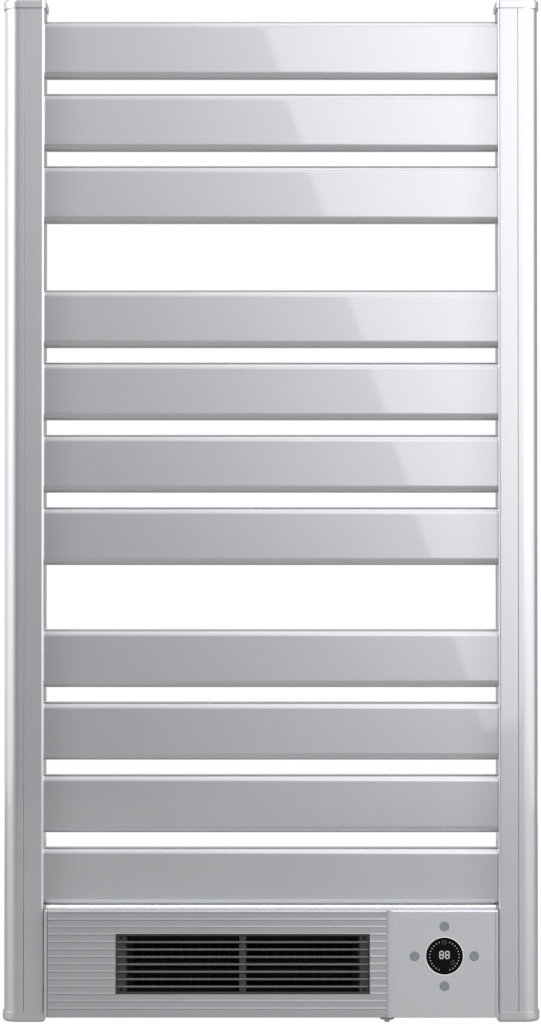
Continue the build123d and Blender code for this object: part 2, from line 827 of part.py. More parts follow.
def terminal_block():
    wide, deep, tall = terminal_size
    front = supply_y - supply_depth / 2 + post_inset
    right = supply_x + supply_width / 2 - post_inset
    top = supply_top + tall
    piece = block(right - wide, right, front, front + deep, supply_top, top)
    for pole in range(terminal_count):
        x = right - wide * (pole + 0.5) / terminal_count
        piece -= rod_z(terminal_bore, top - tall / 2, top, x, front + deep / 2)
        piece -= rod_y(terminal_bore, front, front + deep / 2, x, supply_top + tall / 3)
    return piece


def control_board():
    plate = Pos(board_x, board_z) * Rectangle(board_width, board_height)
    return from_front(plate, board_front, board_front + board_thickness)


def cable_gland():
    nose = box_low - gland_flange_height
    top = box_low + gland_length - gland_flange_height
    body = rod_z(gland_radius, box_low, top, gland_x, gland_y)
    flange = rod_z(gland_radius + gland_flange, nose, box_low, gland_x, gland_y)
    body += chamfer(flange.faces().sort_by(Axis.Z)[0].edges(), gland_flange_height / 3)
    return body - rod_z(gland_bore, nose, top, gland_x, gland_y)


def gland_nut():
    floor = box_low + housing_wall
    ring = RegularPolygon(gland_radius + gland_flange, 6) - Circle(gland_radius)
    return upright(Pos(gland_x, gland_y) * ring, floor, floor + nut_height)


def sensor_collar():
    collar = rod_z(collar_radius, box_low - collar_height, box_low, sensor_x, sensor_y)
    collar = chamfer(collar.faces().sort_by(Axis.Z)[0].edges(), collar_height / 3)
    collar += rod_z(collar_neck, box_low, box_low + collar_rise, sensor_x, sensor_y)
    return collar - rod_z(probe_radius, box_low - collar_height, box_low + collar_rise, sensor_x, sensor_y)


def room_sensor():
    tip = box_low - probe_drop
    probe = rod_z(probe_radius, tip, box_low + probe_rise, sensor_x, sensor_y)
    return chamfer(probe.faces().sort_by(Axis.Z)[0].edges(), probe_radius / 2)


# All pieces by name
channel_section, cover_section = post_sections()
cover = upright(cover_section, foot + cap_height, crown - cap_height)
cap_right = post_cap()
ledge = block(inner_x - cap_overhang, box_x + ledge_gap, box_front, box_back, box_low - ledge_gap, box_high)
cap_low = Pos(0, 0, crown + foot) * mirror(cap_right, about=Plane.XY) - ledge
slat_profile = Pos(slat_y, 0) * slat_section()
pieces = {
    "post_left": mirrored(post_channel(channel_section, wired=False)),
    "post_right": post_channel(channel_section, wired=True),
    "post_cover_left": mirrored(cover),
    "post_cover_right": cover,
    "cap_top_left": mirrored(cap_right),
    "cap_top_right": cap_right,
    "cap_bottom_left": mirrored(cap_low),
    "cap_bottom_right": cap_low,
}
for number, z in enumerate(slat_z, 1):
    pieces[f"slat_{number:02d}"] = along_x(Pos(0, z) * slat_profile, -inner_x, inner_x)
rod_end = inner_x - rod_end_gap
screw_seat = Pos(inner_x + post_wall, 0, 0) * Rot(Z=180) * tapping_screw()
pieces["slat_heating_rods"] = group([rod_x(rod_radius, -rod_end, rod_end, slat_y, z) for z in slat_z])
pieces["slat_screws"] = group(
    [screw for z in port_z for screw in both_sides(Pos(0, slat_y, z) * screw_seat)]
)
pieces["heater_harness"] = harness()
pieces["wall_cups"] = group([location * wall_cup() for location in fixing_places])
pieces["wall_standoffs"] = group([location * standoff() for location in fixing_places])
pieces["standoff_bolts"] = group([location * standoff_bolt() for location in fixing_places])
pieces["grub_screws"] = group([location * grub_screw() for location in fixing_places])

box_end_right = box_end_cap()
pieces["heater_housing"] = heater_housing()
pieces["box_end_left"] = mirrored(box_end_right)
pieces["box_end_right"] = box_end_right
pieces["box_screws"] = group(
    [screw for z in box_screw_z for screw in both_sides(Pos(0, box_screw_y, z) * screw_seat)]
)
pieces["front_panel"] = front_panel()
pieces["control_panel"] = control_panel()
pieces["outlet_grille"] = grille()
pieces["grille_screws"] = group([grille_screw(x, z) for x, z in grille_screw_places])
pieces["fan_casing"] = fan_casing()
pieces["fan_impeller"] = impeller()
pieces["fan_pin"] = fan_pin()
pieces["fan_bush"] = fan_bush()
pieces["motor_body"] = motor_body()
pieces["motor_rotor"] = motor_rotor()
pieces["motor_screws"] = group([motor_screw(z) for z in tie_z])
pieces["heater_block"] = heater_block()
pieces["heater_frame"] = heater_block_frame()
pieces["thermal_cutout"] = thermal_cutout()
pieces["intake_grille"] = intake_grille()
pieces["display_bezel"] = bezel()
pieces["display_window"] = rod_y(dial_radius, window_front, window_back, dial_x, dial_z)
pieces["display_module"] = rod_y(dial_radius - window_recess, window_back, board_front, dial_x, dial_z)
for place, (x, z) in button_places.items():
    pieces[f"button_{place}"] = button(x, z)
pieces["button_switches"] = group([tact_switch(x, z) for x, z in button_places.values()])
pieces["control_board"] = control_board()
pieces["power_board"] = power_board()
pieces["terminal_block"] = terminal_block()
pieces["cable_gland"] = cable_gland()
pieces["gland_nut"] = gland_nut()
pieces["sensor_collar"] = sensor_collar()
pieces["room_sensor"] = room_sensor()

os.makedirs("parts", exist_ok=True)
for name, piece in pieces.items():
    export_step(piece, f"parts/{name}.step")
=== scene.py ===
import bmesh
import bpy
import math
from mathutils import Matrix, Vector


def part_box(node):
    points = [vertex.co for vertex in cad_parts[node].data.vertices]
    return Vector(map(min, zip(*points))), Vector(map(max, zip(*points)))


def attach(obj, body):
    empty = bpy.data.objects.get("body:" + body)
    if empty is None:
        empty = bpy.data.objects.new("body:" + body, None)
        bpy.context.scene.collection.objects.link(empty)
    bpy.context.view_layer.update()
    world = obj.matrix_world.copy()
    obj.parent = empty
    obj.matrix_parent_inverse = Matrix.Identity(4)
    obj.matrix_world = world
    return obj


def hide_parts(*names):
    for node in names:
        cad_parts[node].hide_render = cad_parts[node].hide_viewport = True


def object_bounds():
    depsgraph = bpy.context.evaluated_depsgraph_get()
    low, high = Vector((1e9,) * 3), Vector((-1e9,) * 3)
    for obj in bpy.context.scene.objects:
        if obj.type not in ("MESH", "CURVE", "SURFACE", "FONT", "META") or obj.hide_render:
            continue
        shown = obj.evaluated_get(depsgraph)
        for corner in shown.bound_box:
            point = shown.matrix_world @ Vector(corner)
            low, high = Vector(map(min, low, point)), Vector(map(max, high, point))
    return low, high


# A heated towel rail for a wall, with a fan heater between its feet.
# Sizes are millimetres, and become metres where a mesh is made.

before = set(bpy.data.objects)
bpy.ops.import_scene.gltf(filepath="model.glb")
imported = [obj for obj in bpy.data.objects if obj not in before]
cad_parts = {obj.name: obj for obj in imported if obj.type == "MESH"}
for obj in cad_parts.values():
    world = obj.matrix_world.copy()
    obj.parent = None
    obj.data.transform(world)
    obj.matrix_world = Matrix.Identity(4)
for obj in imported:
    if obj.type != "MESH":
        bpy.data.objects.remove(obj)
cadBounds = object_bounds()
mm = 0.001
collection = bpy.context.scene.collection
print("frame loaded,", len(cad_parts), "nodes")


def linear(hexCode):
    # an sRGB hex colour as the linear one that sockets take
    channels = [int(hexCode[k:k + 2], 16) / 255 for k in (1, 3, 5)]
    return [c / 12.92 if c <= 0.04045 else ((c + 0.055) / 1.055) ** 2.4 for c in channels] + [1.0]


def addNode(tree, kind, settings={}, links={}):
    # settings name the node's own properties or its sockets; a link starts at a socket or a node's first one
    node = tree.nodes.new(kind)
    for key, value in settings.items():
        if isinstance(key, str) and hasattr(node, key):
            setattr(node, key, value)
        else:
            node.inputs[key].default_value = value
    for key, source in links.items():
        tree.links.new(source.outputs[0] if hasattr(source, "outputs") else source, node.inputs[key])
    return node


# Finishes

def surface(name, light, dark, roughness, grain, cloud, relief,
            metallic=0.0, shader={}, ends=None, paintedEndShade=None):
    # sizes are in millimetres: grain is the pattern's along X, Y and Z, cloud that of its broad unevenness
    # and relief the bump's height; ends are where along X the tone starts to turn to painted shade and where
    # it is all the painted end shade
    material = bpy.data.materials.new(name)
    material.use_nodes = True
    tree = material.node_tree
    principled = tree.nodes["Principled BSDF"]
    principled.inputs["Metallic"].default_value = metallic
    for socket, value in shader.items():
        principled.inputs[socket].default_value = value
    spot = addNode(tree, "ShaderNodeTexCoord").outputs["Object"]
    stretch = addNode(tree, "ShaderNodeMapping", {"Scale": [1 / (size * mm) for size in grain]},
                      {"Vector": spot})
    fine = addNode(tree, "ShaderNodeTexNoise", {"Scale": 1.0, "Detail": 3.0}, {"Vector": stretch})
    broad = addNode(tree, "ShaderNodeTexNoise", {"Scale": 1 / (cloud * mm), "Detail": 2.0}, {"Vector": spot})
    mottle = addNode(tree, "ShaderNodeMix", {"Factor": 0.5}, {2: fine, 3: broad})
    tone = addNode(tree, "ShaderNodeMix", {"data_type": "RGBA", 6: linear(dark), 7: linear(light)},
                   {"Factor": mottle}).outputs[2]
    # painted shade: the colour turns darker towards both ends along X
    if ends:
        across = addNode(tree, "ShaderNodeSeparateXYZ", {}, {0: spot})
        aside = addNode(tree, "ShaderNodeMath", {"operation": "ABSOLUTE"}, {0: across})
        turn = addNode(tree, "ShaderNodeMapRange", {
            "interpolation_type": "SMOOTHSTEP", "From Min": ends[0] * mm, "From Max": ends[1] * mm},
            {"Value": aside})
        tone = addNode(tree, "ShaderNodeMix", {"data_type": "RGBA", 7: linear(paintedEndShade)},
                       {"Factor": turn, 6: tone}).outputs[2]
    gloss = addNode(tree, "ShaderNodeMapRange", {"To Min": roughness[0], "To Max": roughness[1]},
                    {"Value": mottle})
    bump = addNode(tree, "ShaderNodeBump", {"Distance": relief * mm}, {"Height": fine})
    tree.links.new(tone, principled.inputs["Base Color"])
    tree.links.new(gloss.outputs[0], principled.inputs["Roughness"])
    tree.links.new(bump.outputs[0], principled.inputs["Normal"])
    return material


def sealed(coatRoughness):
    # the clear hard layer that anodising leaves on aluminium
    return {"Coat Weight": 1.0, "Coat Roughness": coatRoughness, "Coat IOR": 1.76}


moulded = {"IOR": 1.53}  # nylon and ABS
finishes = {
    # satin silver anodising on extruded aluminium: soft reflections and faint die lines up the post
    "anodised_aluminium": surface(
        "satinAnodisedPost", light="#C6C8CC", dark="#C2C4C8", metallic=1.0, roughness=(0.33, 0.36),
        grain=(1.1, 1.1, 160), cloud=90, relief=0.001, shader=sealed(0.05)),
    # the same on the slats, with the die lines along them, and painted shade that darkens them towards both
    # ends, next to the posts
    "anodised_slat": surface(
        "satinAnodisedSlat", light="#C6C8CC", dark="#C2C4C8", metallic=1.0, roughness=(0.33, 0.36),
        grain=(190, 1.3, 1.3), cloud=110, relief=0.001, ends=(172, 220), paintedEndShade="#B4B6BA",
        shader=sealed(0.03)),
    # silver anodised panels: a little duller than the rail
    "silver_panel": surface(
        "satinAnodisedPanel", light="#CCCED2", dark="#C7C9CD", metallic=1.0, roughness=(0.36, 0.4),
        grain=(150, 1.2, 1.2), cloud=80, relief=0.001, shader=sealed(0.06)),
    # the same anodising on the ribbed panel, in a darker colour: painted shade for the shade between its
    # ribs
    "ribsPaintedShade": surface(
        "satinAnodisedRibsPaintedShade", light="#B3B5B9", dark="#AEB0B4", metallic=1.0, roughness=(0.36, 0.4),
        grain=(150, 1.2, 1.2), cloud=80, relief=0.001, shader=sealed(0.06)),
    # fine pale silver powder coat on bent steel, half glossy
    "housing_coat": surface(
        "paleSilverPowderCoat", light="#C8C9CC", dark="#C2C3C6", metallic=0.1, roughness=(0.42, 0.52),
        grain=(0.9, 0.9, 0.9), cloud=60, relief=0.004, shader={"Coat Weight": 0.5, "Coat Roughness": 0.08}),
    # zinc-plated steel screws: bright, with a faint blue cast
    "zinc_steel": surface(
        "zincPlatedSteel", light="#C9CDD2", dark="#AEB4BB", metallic=1.0, roughness=(0.24, 0.4),
        grain=(0.8, 0.8, 0.8), cloud=6, relief=0.01),
    # stainless heating rod, slightly straw-coloured by heat
    "heating_rod": surface(
        "heatTintedStainless", light="#B8AC98", dark="#8F8678", metallic=1.0, roughness=(0.3, 0.45),
        grain=(12, 1, 1), cloud=20, relief=0.01),
    # silicone-sleeved wires: matt grey-white rubber
    "silicone_sleeve": surface(
        "siliconeSleeve", light="#C9C5BC", dark="#B5B1A8", roughness=(0.5, 0.65), grain=(0.8, 0.8, 0.8),
        cloud=15, relief=0.02, shader={"IOR": 1.41}),
    # moulded black ABS with a fine spark-eroded grain
    "black_grille": surface(
        "grainedBlackAbs", light="#2A2B2C", dark="#242526", roughness=(0.46, 0.58), grain=(0.7, 0.7, 0.7),
        cloud=12, relief=0.03, shader=moulded),
    # the outlet's bars: the same plastic in a lighter grey and a little glossier; the lighter grey is a
    # painted highlight for the light on their rounded tops
    "barsPaintedHighlight": surface(
        "greyBarsPaintedHighlight", light="#555658", dark="#4D4E50", roughness=(0.34, 0.44), grain=(0.8, 0.8, 0.8),
        cloud=20, relief=0.015, shader=moulded),
    # black polyester of the fan casing, hard and heatproof
    "fan_casing_plastic": surface(
        "blackPolyester", light="#151617", dark="#0F1011", roughness=(0.6, 0.75), grain=(1.0, 1.0, 1.0),
        cloud=15, relief=0.03, shader={"IOR": 1.57}),
    # pressed aluminium blades, dull from rolling, coloured dark grey: painted shade for the dark inside of
    # the box
    "impeller_aluminium": surface(
        "impellerPaintedShade", light="#3B3C3E", dark="#303133", metallic=0.8, roughness=(0.5, 0.62),
        grain=(30, 0.8, 0.8), cloud=18, relief=0.01),
    # soft black rubber
    "bush_rubber": surface(
        "blackRubber", light="#222222", dark="#171717", roughness=(0.7, 0.85), grain=(0.5, 0.5, 0.5),
        cloud=8, relief=0.03, shader={"IOR": 1.52}),
    # deep-drawn steel can, lightly oiled
    "motor_steel": surface(
        "drawnSteel", light="#8E9194", dark="#74777A", metallic=1.0, roughness=(0.28, 0.42),
        grain=(18, 1, 1), cloud=15, relief=0.01),
    # aluminium fins coloured near black: painted shade for the dark inside of the outlet
    "heater_fins": surface(
        "finsPaintedShade", light="#1C1C1D", dark="#171718", roughness=(0.8, 0.9), grain=(1.5, 6, 1.5),
        cloud=12, relief=0.01, shader={"Specular IOR Level": 0.15}),
    # black heatproof nylon frame
    "heater_frame_plastic": surface(
        "blackNylon", light="#19191A", dark="#151516", roughness=(0.8, 0.9), grain=(0.8, 0.8, 0.8),
        cloud=12, relief=0.03, shader={"IOR": 1.53, "Specular IOR Level": 0.15}),
    # nickel-plated cutout
    "cutout_steel": surface(
        "nickelPlatedSteel", light="#C2BEB4", dark="#A6A299", metallic=1.0, roughness=(0.2, 0.32),
        grain=(2, 2, 2), cloud=6, relief=0.005),
    # satin chrome rim: pale, without sharp reflections
    "bezel_chrome": surface(
        "satinChrome", light="#EDEEF0", dark="#E6E7E9", metallic=0.6, roughness=(0.42, 0.5),
        grain=(1.5, 1.5, 1.5), cloud=10, relief=0.001),
    # black-backed display glass with an anti-reflection coat: deep black, hardly any gloss
    "display_glass": surface(
        "blackBackedGlass", light="#09090A", dark="#060607", roughness=(0.05, 0.1), grain=(6, 6, 6),
        cloud=20, relief=0.0005, shader={"IOR": 1.2}),
    # black housings of the display module and switches
    "display_black": surface(
        "mouldedBlackNylon", light="#1C1C1D", dark="#121213", roughness=(0.4, 0.55), grain=(0.6, 0.6, 0.6),
        cloud=8, relief=0.02, shader=moulded),
    # mid-grey moulded buttons with a soft satin face
    "button_grey": surface(
        "satinGreyAbs", light="#777E82", dark="#6F7579", roughness=(0.38, 0.5), grain=(0.5, 0.5, 0.5),
        cloud=5, relief=0.01, shader=moulded),
    # green solder mask over copper tracks
    "board_green": surface(
        "solderMask", light="#1E5B3A", dark="#174B2F", roughness=(0.25, 0.4), grain=(3, 3, 3), cloud=8,
        relief=0.03, shader={"IOR": 1.55}),
    # off-white nylon terminals
    "terminal_white": surface(
        "whiteNylon", light="#DAD8D0", dark="#CBC9C1", roughness=(0.45, 0.6), grain=(0.8, 0.8, 0.8),
        cloud=10, relief=0.02, shader=moulded),
    # black nylon gland
    "gland_black": surface(
        "blackGlandNylon", light="#2A2B2C", dark="#1F2021", roughness=(0.45, 0.58), grain=(0.6, 0.6, 0.6),
        cloud=8, relief=0.02, shader=moulded),
    # light grey moulded collar
    "collar_grey": surface(
        "mouldedLightGrey", light="#9A9C9F", dark="#8E9093", roughness=(0.4, 0.52), grain=(0.6, 0.6, 0.6),
        cloud=6, relief=0.02, shader=moulded),
    # blackened steel screws
    "blackenedSteel": surface(
        "blackenedSteel", light="#1B1B1C", dark="#111112", metallic=0.6, roughness=(0.4, 0.55),
        grain=(0.5, 0.5, 0.5), cloud=3, relief=0.01),
    # digits and dots: pale segments behind the glass that glow a little
    "segments": surface(
        "litSegments", light="#A4A8A9", dark="#989C9D", roughness=(0.3, 0.4), grain=(0.4, 0.4, 0.4),
        cloud=4, relief=0.0, shader={"Emission Color": linear("#E9EEF0"), "Emission Strength": 0.1}),
    # the icons, which are not lit
    "dimSegments": surface(
        "dimSegments", light="#4A4C4D", dark="#3E4041", roughness=(0.3, 0.4), grain=(0.4, 0.4, 0.4),
        cloud=4, relief=0.0),
    # turned stainless probe
    "sensor_steel": surface(
        "turnedStainless", light="#B4B5B8", dark="#A2A3A6", metallic=1.0, roughness=(0.22, 0.34),
        grain=(6, 6, 0.5), cloud=5, relief=0.004),
}
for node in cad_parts.values():
    for place in node.material_slots:
        place.material = finishes[place.material.name]
print("finishes made:", len(finishes))


# Mesh tools

past = 5  # how far a cutter reaches past what it cuts
nearest = 0.0005  # points nearer to each other than this become one
pole = 0.05  # radius of the small face where a turned piece meets its axis
sharpest = 40  # degrees between faces whose edge stays as it is when a piece is bevelled
axisOrder = {
    "x": lambda u, v, w: (w, u, v),
    "y": lambda u, v, w: (u, w, v),
    "z": lambda u, v, w: (u, v, w),
}


def cadBox(node):
    # lowest and highest corner of a node in millimetres
    low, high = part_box(node)
    return low / mm, high / mm


def middleXY(node):
    low, high = cadBox(node)
    return (low.x + high.x) / 2, (low.y + high.y) / 2


def rounded(corners, steps=8):
    # corners are (u, v, radius), and each radius becomes an arc
    points = []
    for k, (u, v, radius) in enumerate(corners):
        here = Vector((u, v))
        if not radius:
            points.append(here)
            continue
        before = (Vector(corners[k - 1][:2]) - here).normalized()
        after = (Vector(corners[(k + 1) % len(corners)][:2]) - here).normalized()
        half = before.angle(after) / 2
        centre = here + (before + after).normalized() * radius / math.sin(half)
        start = here + before * radius / math.tan(half) - centre
        end = here + after * radius / math.tan(half) - centre
        turn = -start.angle_signed(end)
        points += [centre + Matrix.Rotation(turn * step / steps, 2) @ start for step in range(steps + 1)]
    return points


def loft(shape, rings, closed=False):
    # rings of equally many points; an open loft gets a face at each end
    loops = [[shape.verts.new(point) for point in ring] for ring in rings]
    for a, b in zip(loops, loops[1:] + (loops[:1] if closed else [])):
        for k in range(len(a)):
            shape.faces.new((a[k - 1], a[k], b[k], b[k - 1]))
    if not closed:
        shape.faces.new(loops[0])
        shape.faces.new(loops[-1])


def prism(shape, outline, axis, low, high):
    loft(shape, [[axisOrder[axis](u, v, w) for u, v in outline] for w in (low, high)])


def tube(shape, walls, axis):
    # walls are (outline, place along the axis), once round the tube's section
    loft(shape, [[axisOrder[axis](u, v, w) for u, v in outline] for outline, w in walls], closed=True)


def turned(shape, profile, axis, centre, steps=64, closed=False):
    # profile points are (radius, distance along the axis)
    angles = [2 * math.pi * k / steps for k in range(steps)]
    loft(shape, [[axisOrder[axis](centre[0] + radius * math.cos(a), centre[1] + radius * math.sin(a), w)
                  for a in angles] for radius, w in profile], closed)


def block(shape, low, high):
    outline = [(low[0], low[1]), (high[0], low[1]), (high[0], high[1]), (low[0], high[1])]
    prism(shape, outline, "z", low[2], high[2])


def quarter(steps, first=0):
    # sine and cosine at the steps of a quarter turn
    angles = [math.pi / 2 * k / steps for k in range(first, steps + 1)]
    return [(math.sin(a), math.cos(a)) for a in angles]


def meshObject(name, shape):
    bmesh.ops.remove_doubles(shape, verts=shape.verts, dist=nearest)
    bmesh.ops.recalc_face_normals(shape, faces=shape.faces)
    bmesh.ops.scale(shape, vec=(mm, mm, mm), verts=shape.verts)
    data = bpy.data.meshes.new(name)
    shape.to_mesh(data)
    shape.free()
    piece = bpy.data.objects.new(name, data)
    collection.objects.link(piece)
    return piece


def settle(piece):
    # what the modifiers give becomes the piece's own plain mesh
    graph = bpy.context.evaluated_depsgraph_get()
    plain = bpy.data.meshes.new_from_object(piece.evaluated_get(graph), depsgraph=graph)
    piece.modifiers.clear()
    piece.data = plain


def carve(piece, cutter):
    cut = piece.modifiers.new("cut", "BOOLEAN")
    cut.operation = "DIFFERENCE"
    cut.solver = "EXACT"
    cut.object = cutter
    settle(piece)
    bpy.data.objects.remove(cutter)


def finishPiece(piece, finish, nodes, body="frame", bevel=0.0, cutter=None, sharpAngle=32):
    # cuts, fine bevels and flat-faced shading, then the frame's bookkeeping
    if cutter:
        carve(piece, cutter)
    if bevel:
        edge = piece.modifiers.new("edge", "BEVEL")
        edge.width = bevel * mm
        edge.segments = 2
        edge.limit_method = "ANGLE"
        edge.angle_limit = math.radians(sharpest)
        settle(piece)
    piece.data.set_sharp_from_angle(angle=math.radians(sharpAngle))
    flat = piece.modifiers.new("flatFaces", "WEIGHTED_NORMAL")
    flat.keep_sharp = True
    settle(piece)
    piece.data.materials.clear()
    piece.data.materials.append(finishes[finish])
    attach(piece, body)
    if nodes:
        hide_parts(*nodes)
    return piece


# Node trees for what repeats

def openTree(name, inputs):
    tree = bpy.data.node_groups.new(name, "GeometryNodeTree")
    tree.interface.new_socket("Geometry", in_out="INPUT", socket_type="NodeSocketGeometry")
    tree.interface.new_socket("Geometry", in_out="OUTPUT", socket_type="NodeSocketGeometry")
    for label, kind in inputs.items():
        tree.interface.new_socket(label, in_out="INPUT", socket_type="NodeSocket" + kind)
    return tree, tree.nodes.new("NodeGroupInput").outputs, tree.nodes.new("NodeGroupOutput")


def closeTree(tree, given, result, points, unit):
    # the unit stands on every point, as plain geometry with the piece's finish
    copies = addNode(tree, "GeometryNodeInstanceOnPoints", {}, {"Points": points, "Instance": unit})
    solid = addNode(tree, "GeometryNodeRealizeInstances", {}, {"Geometry": copies})
    coat = addNode(tree, "GeometryNodeSetMaterial", {}, {"Geometry": solid, "Material": given["Finish"]})
    tree.links.new(coat.outputs[0], result.inputs[0])
    return copies


def barTree():
    # a bar along X with rounded edges, on every point
    tree, given, result = openTree("roundedBars", {
        "Length": "Float", "Height": "Float", "Thickness": "Float", "Edge Radius": "Float",
        "Edge Steps": "Int", "Finish": "Material"})
    section = addNode(tree, "GeometryNodeCurvePrimitiveQuadrilateral", {},
                      {"Width": given["Thickness"], "Height": given["Height"]})
    soft = addNode(tree, "GeometryNodeFilletCurve", {"mode": "POLY"},
                   {"Curve": section, "Count": given["Edge Steps"], "Radius": given["Edge Radius"]})
    half = addNode(tree, "ShaderNodeMath", {"operation": "MULTIPLY", 1: 0.5}, {0: given["Length"]})
    back = addNode(tree, "ShaderNodeMath", {"operation": "MULTIPLY", 1: -0.5}, {0: given["Length"]})
    start = addNode(tree, "ShaderNodeCombineXYZ", {}, {"X": back})
    end = addNode(tree, "ShaderNodeCombineXYZ", {}, {"X": half})
    line = addNode(tree, "GeometryNodeCurvePrimitiveLine", {}, {"Start": start, "End": end})
    sweep = addNode(tree, "GeometryNodeCurveToMesh", {"Fill Caps": True},
                    {"Curve": line, "Profile Curve": soft})
    closeTree(tree, given, result, given["Geometry"], sweep)
    return tree


def unitTree():
    # a ready-made unit on every point
    tree, given, result = openTree("unitsOnPoints", {"Unit": "Object", "Finish": "Material"})
    unit = addNode(tree, "GeometryNodeObjectInfo", {}, {"Object": given["Unit"]})
    closeTree(tree, given, result, given["Geometry"], unit.outputs["Geometry"])
    return tree


def ringTree():
    # flat round dots set around a ring in the XZ plane
    tree, given, result = openTree("dotsRoundRing", {
        "Count": "Int", "Ring Radius": "Float", "First Angle": "Float", "Last Angle": "Float",
        "Dot Radius": "Float", "Dot Sides": "Int", "Thickness": "Float", "Finish": "Material"})
    index = addNode(tree, "GeometryNodeInputIndex")
    last = addNode(tree, "ShaderNodeMath", {"operation": "SUBTRACT", 1: 1.0}, {0: given["Count"]})
    share = addNode(tree, "ShaderNodeMath", {"operation": "DIVIDE"}, {0: index, 1: last})
    angle = addNode(tree, "ShaderNodeMix", {}, {0: share, 2: given["First Angle"], 3: given["Last Angle"]})
    sine = addNode(tree, "ShaderNodeMath", {"operation": "SINE"}, {0: angle})
    cosine = addNode(tree, "ShaderNodeMath", {"operation": "COSINE"}, {0: angle})
    away = addNode(tree, "ShaderNodeCombineXYZ", {}, {"X": sine, "Z": cosine})
    place = addNode(tree, "ShaderNodeVectorMath", {"operation": "SCALE"},
                    {0: away, "Scale": given["Ring Radius"]})
    points = addNode(tree, "GeometryNodePoints", {}, {"Count": given["Count"], "Position": place})
    dot = addNode(tree, "GeometryNodeMeshCylinder", {}, {
        "Vertices": given["Dot Sides"], "Radius": given["Dot Radius"], "Depth": given["Thickness"]})
    copies = closeTree(tree, given, result, points, dot)
    copies.inputs["Rotation"].default_value = (math.pi / 2, 0, 0)
    return tree


trees = {"bars": barTree(), "units": unitTree(), "ring": ringTree()}


def grown(name, tree, points, values, slot):
    # runs a tree on a mesh of points and keeps the plain result
    shape = bmesh.new()
    for point in points:
        shape.verts.new(point)
    bmesh.ops.scale(shape, vec=(mm, mm, mm), verts=shape.verts)
    data = bpy.data.meshes.new(name)
    shape.to_mesh(data)
    shape.free()
    piece = bpy.data.objects.new(name, data)
    collection.objects.link(piece)
    modifier = piece.modifiers.new("nodes", "NODES")
    modifier.node_group = tree
    sockets = {item.name: item.identifier for item in tree.interface.items_tree if item.in_out == "INPUT"}
    modifier[sockets["Finish"]] = finishes[slot]
    for label, value in values.items():
        modifier[sockets[label]] = value
    settle(piece)
    return piece


# Camera, light and floor

view = {
    "distance": 3000.0,  # from the posts' fronts
    "height": -49.7,
    "sideways": -0.6,
    "pitch": 0.9,  # degrees upwards
    "lens": 112.7,
    "sensor": 36.0,  # along the picture's long side
    "farthest": 50.0,  # metres
}


def makeCamera():
    front = cadBox("post_left")[0].y
    data = bpy.data.cameras.new("camera")
    data.lens = view["lens"]
    data.sensor_width = view["sensor"]
    data.clip_end = view["farthest"]
    camera = bpy.data.objects.new("camera", data)
    camera.location = Vector((view["sideways"], front - view["distance"], view["height"])) * mm
    camera.rotation_euler = (math.radians(90 + view["pitch"]), 0, 0)
    collection.objects.link(camera)
    bpy.context.scene.camera = camera


lamps = {
    # place and size in metres; turn and tilt, which face it to the rail, and lean, which rolls it,
    # in degrees; and radiance, the brightness seen in a mirror
    "key": ((1.02, -2.229, 0.979), (2.21, 2.04), (25.0, 0.0, 18.5), 1.34),
    "overhead": ((0.95, -0.7, 1.6), (2.1, 1.8), (0.0, 90.0, 0.0), 0.6),
    "highLeft": ((-1.7, -0.6, 1.4), (1.2, 1.2), (-72.0, 45.0, 0.0), 6.0),
    "highRight": ((1.7, -0.6, 1.4), (1.2, 1.2), (72.0, 45.0, 0.0), 6.0),
    "backLow": ((0.0, 0.3, -0.328), (0.56, 0.05), (180.0, 0.0, 0.0), 3.0),
}
room = {
    # each step gives a value: its name, the part of the direction that it follows, the span in which it
    # changes, and what it changes from and to, which may be the value of an earlier step
    "steps": (
        ("upper", "x", (-0.6, -0.85), 0.52, 1.95),
        ("upper", "x", (0.2, 0.6), "upper", 1.95),
        ("upper", "z", (0.45, 0.8), "upper", 1.0),
        ("lower", "x", (-0.15, 0.32), 0.06, 1.2),
        ("lower", "aside", (0.45, 0.8), "lower", 1.6),
        ("front", "z", (-0.15, 0.22), "lower", "upper"),
        ("back", "x", (-0.35, -0.75), 0.42, 1.15),
        ("level", "y", (0.3, -0.05), "back", "front"),
        ("strip", "aside", (0.3, 0.12), 0.0, 1.0),
        ("strip", "y", (0.3, 0.7), 0.0, "strip"),
        ("strip", "z", (0.2, 0.36), 0.0, "strip"),
    ),
    "white": 1.0,
}
floor = {
    "drop": 120.0,  # below the rail
    "side": 9000.0,
    "thickness": 10.0,
    "light": "#8F8F8E",
    "dark": "#8A8A89",
    "lift": 0.08,  # light that only the camera and reflections see
    "seenWhite": (0.5, 0.9),  # where it turns white, in metres from its middle
    "mirroredWhite": (3.0, 4.0),  # the same in reflections, in metres behind the rail
}


def makeLamps():
    for name, (place, (width, height), angles, radiance) in lamps.items():
        data = bpy.data.lights.new(name, "AREA")
        data.shape = "RECTANGLE"
        data.size = width
        data.size_y = height
        data.energy = radiance * math.pi * width * height
        turn, tilt, lean = map(math.radians, angles)
        piece = bpy.data.objects.new(name, data)
        piece.matrix_world = (Matrix.Translation(place) @ Matrix.Rotation(turn, 4, "Z")
                              @ Matrix.Rotation(math.pi / 2 - tilt, 4, "X") @ Matrix.Rotation(lean, 4, "Z"))
        piece.visible_camera = False
        collection.objects.link(piece)


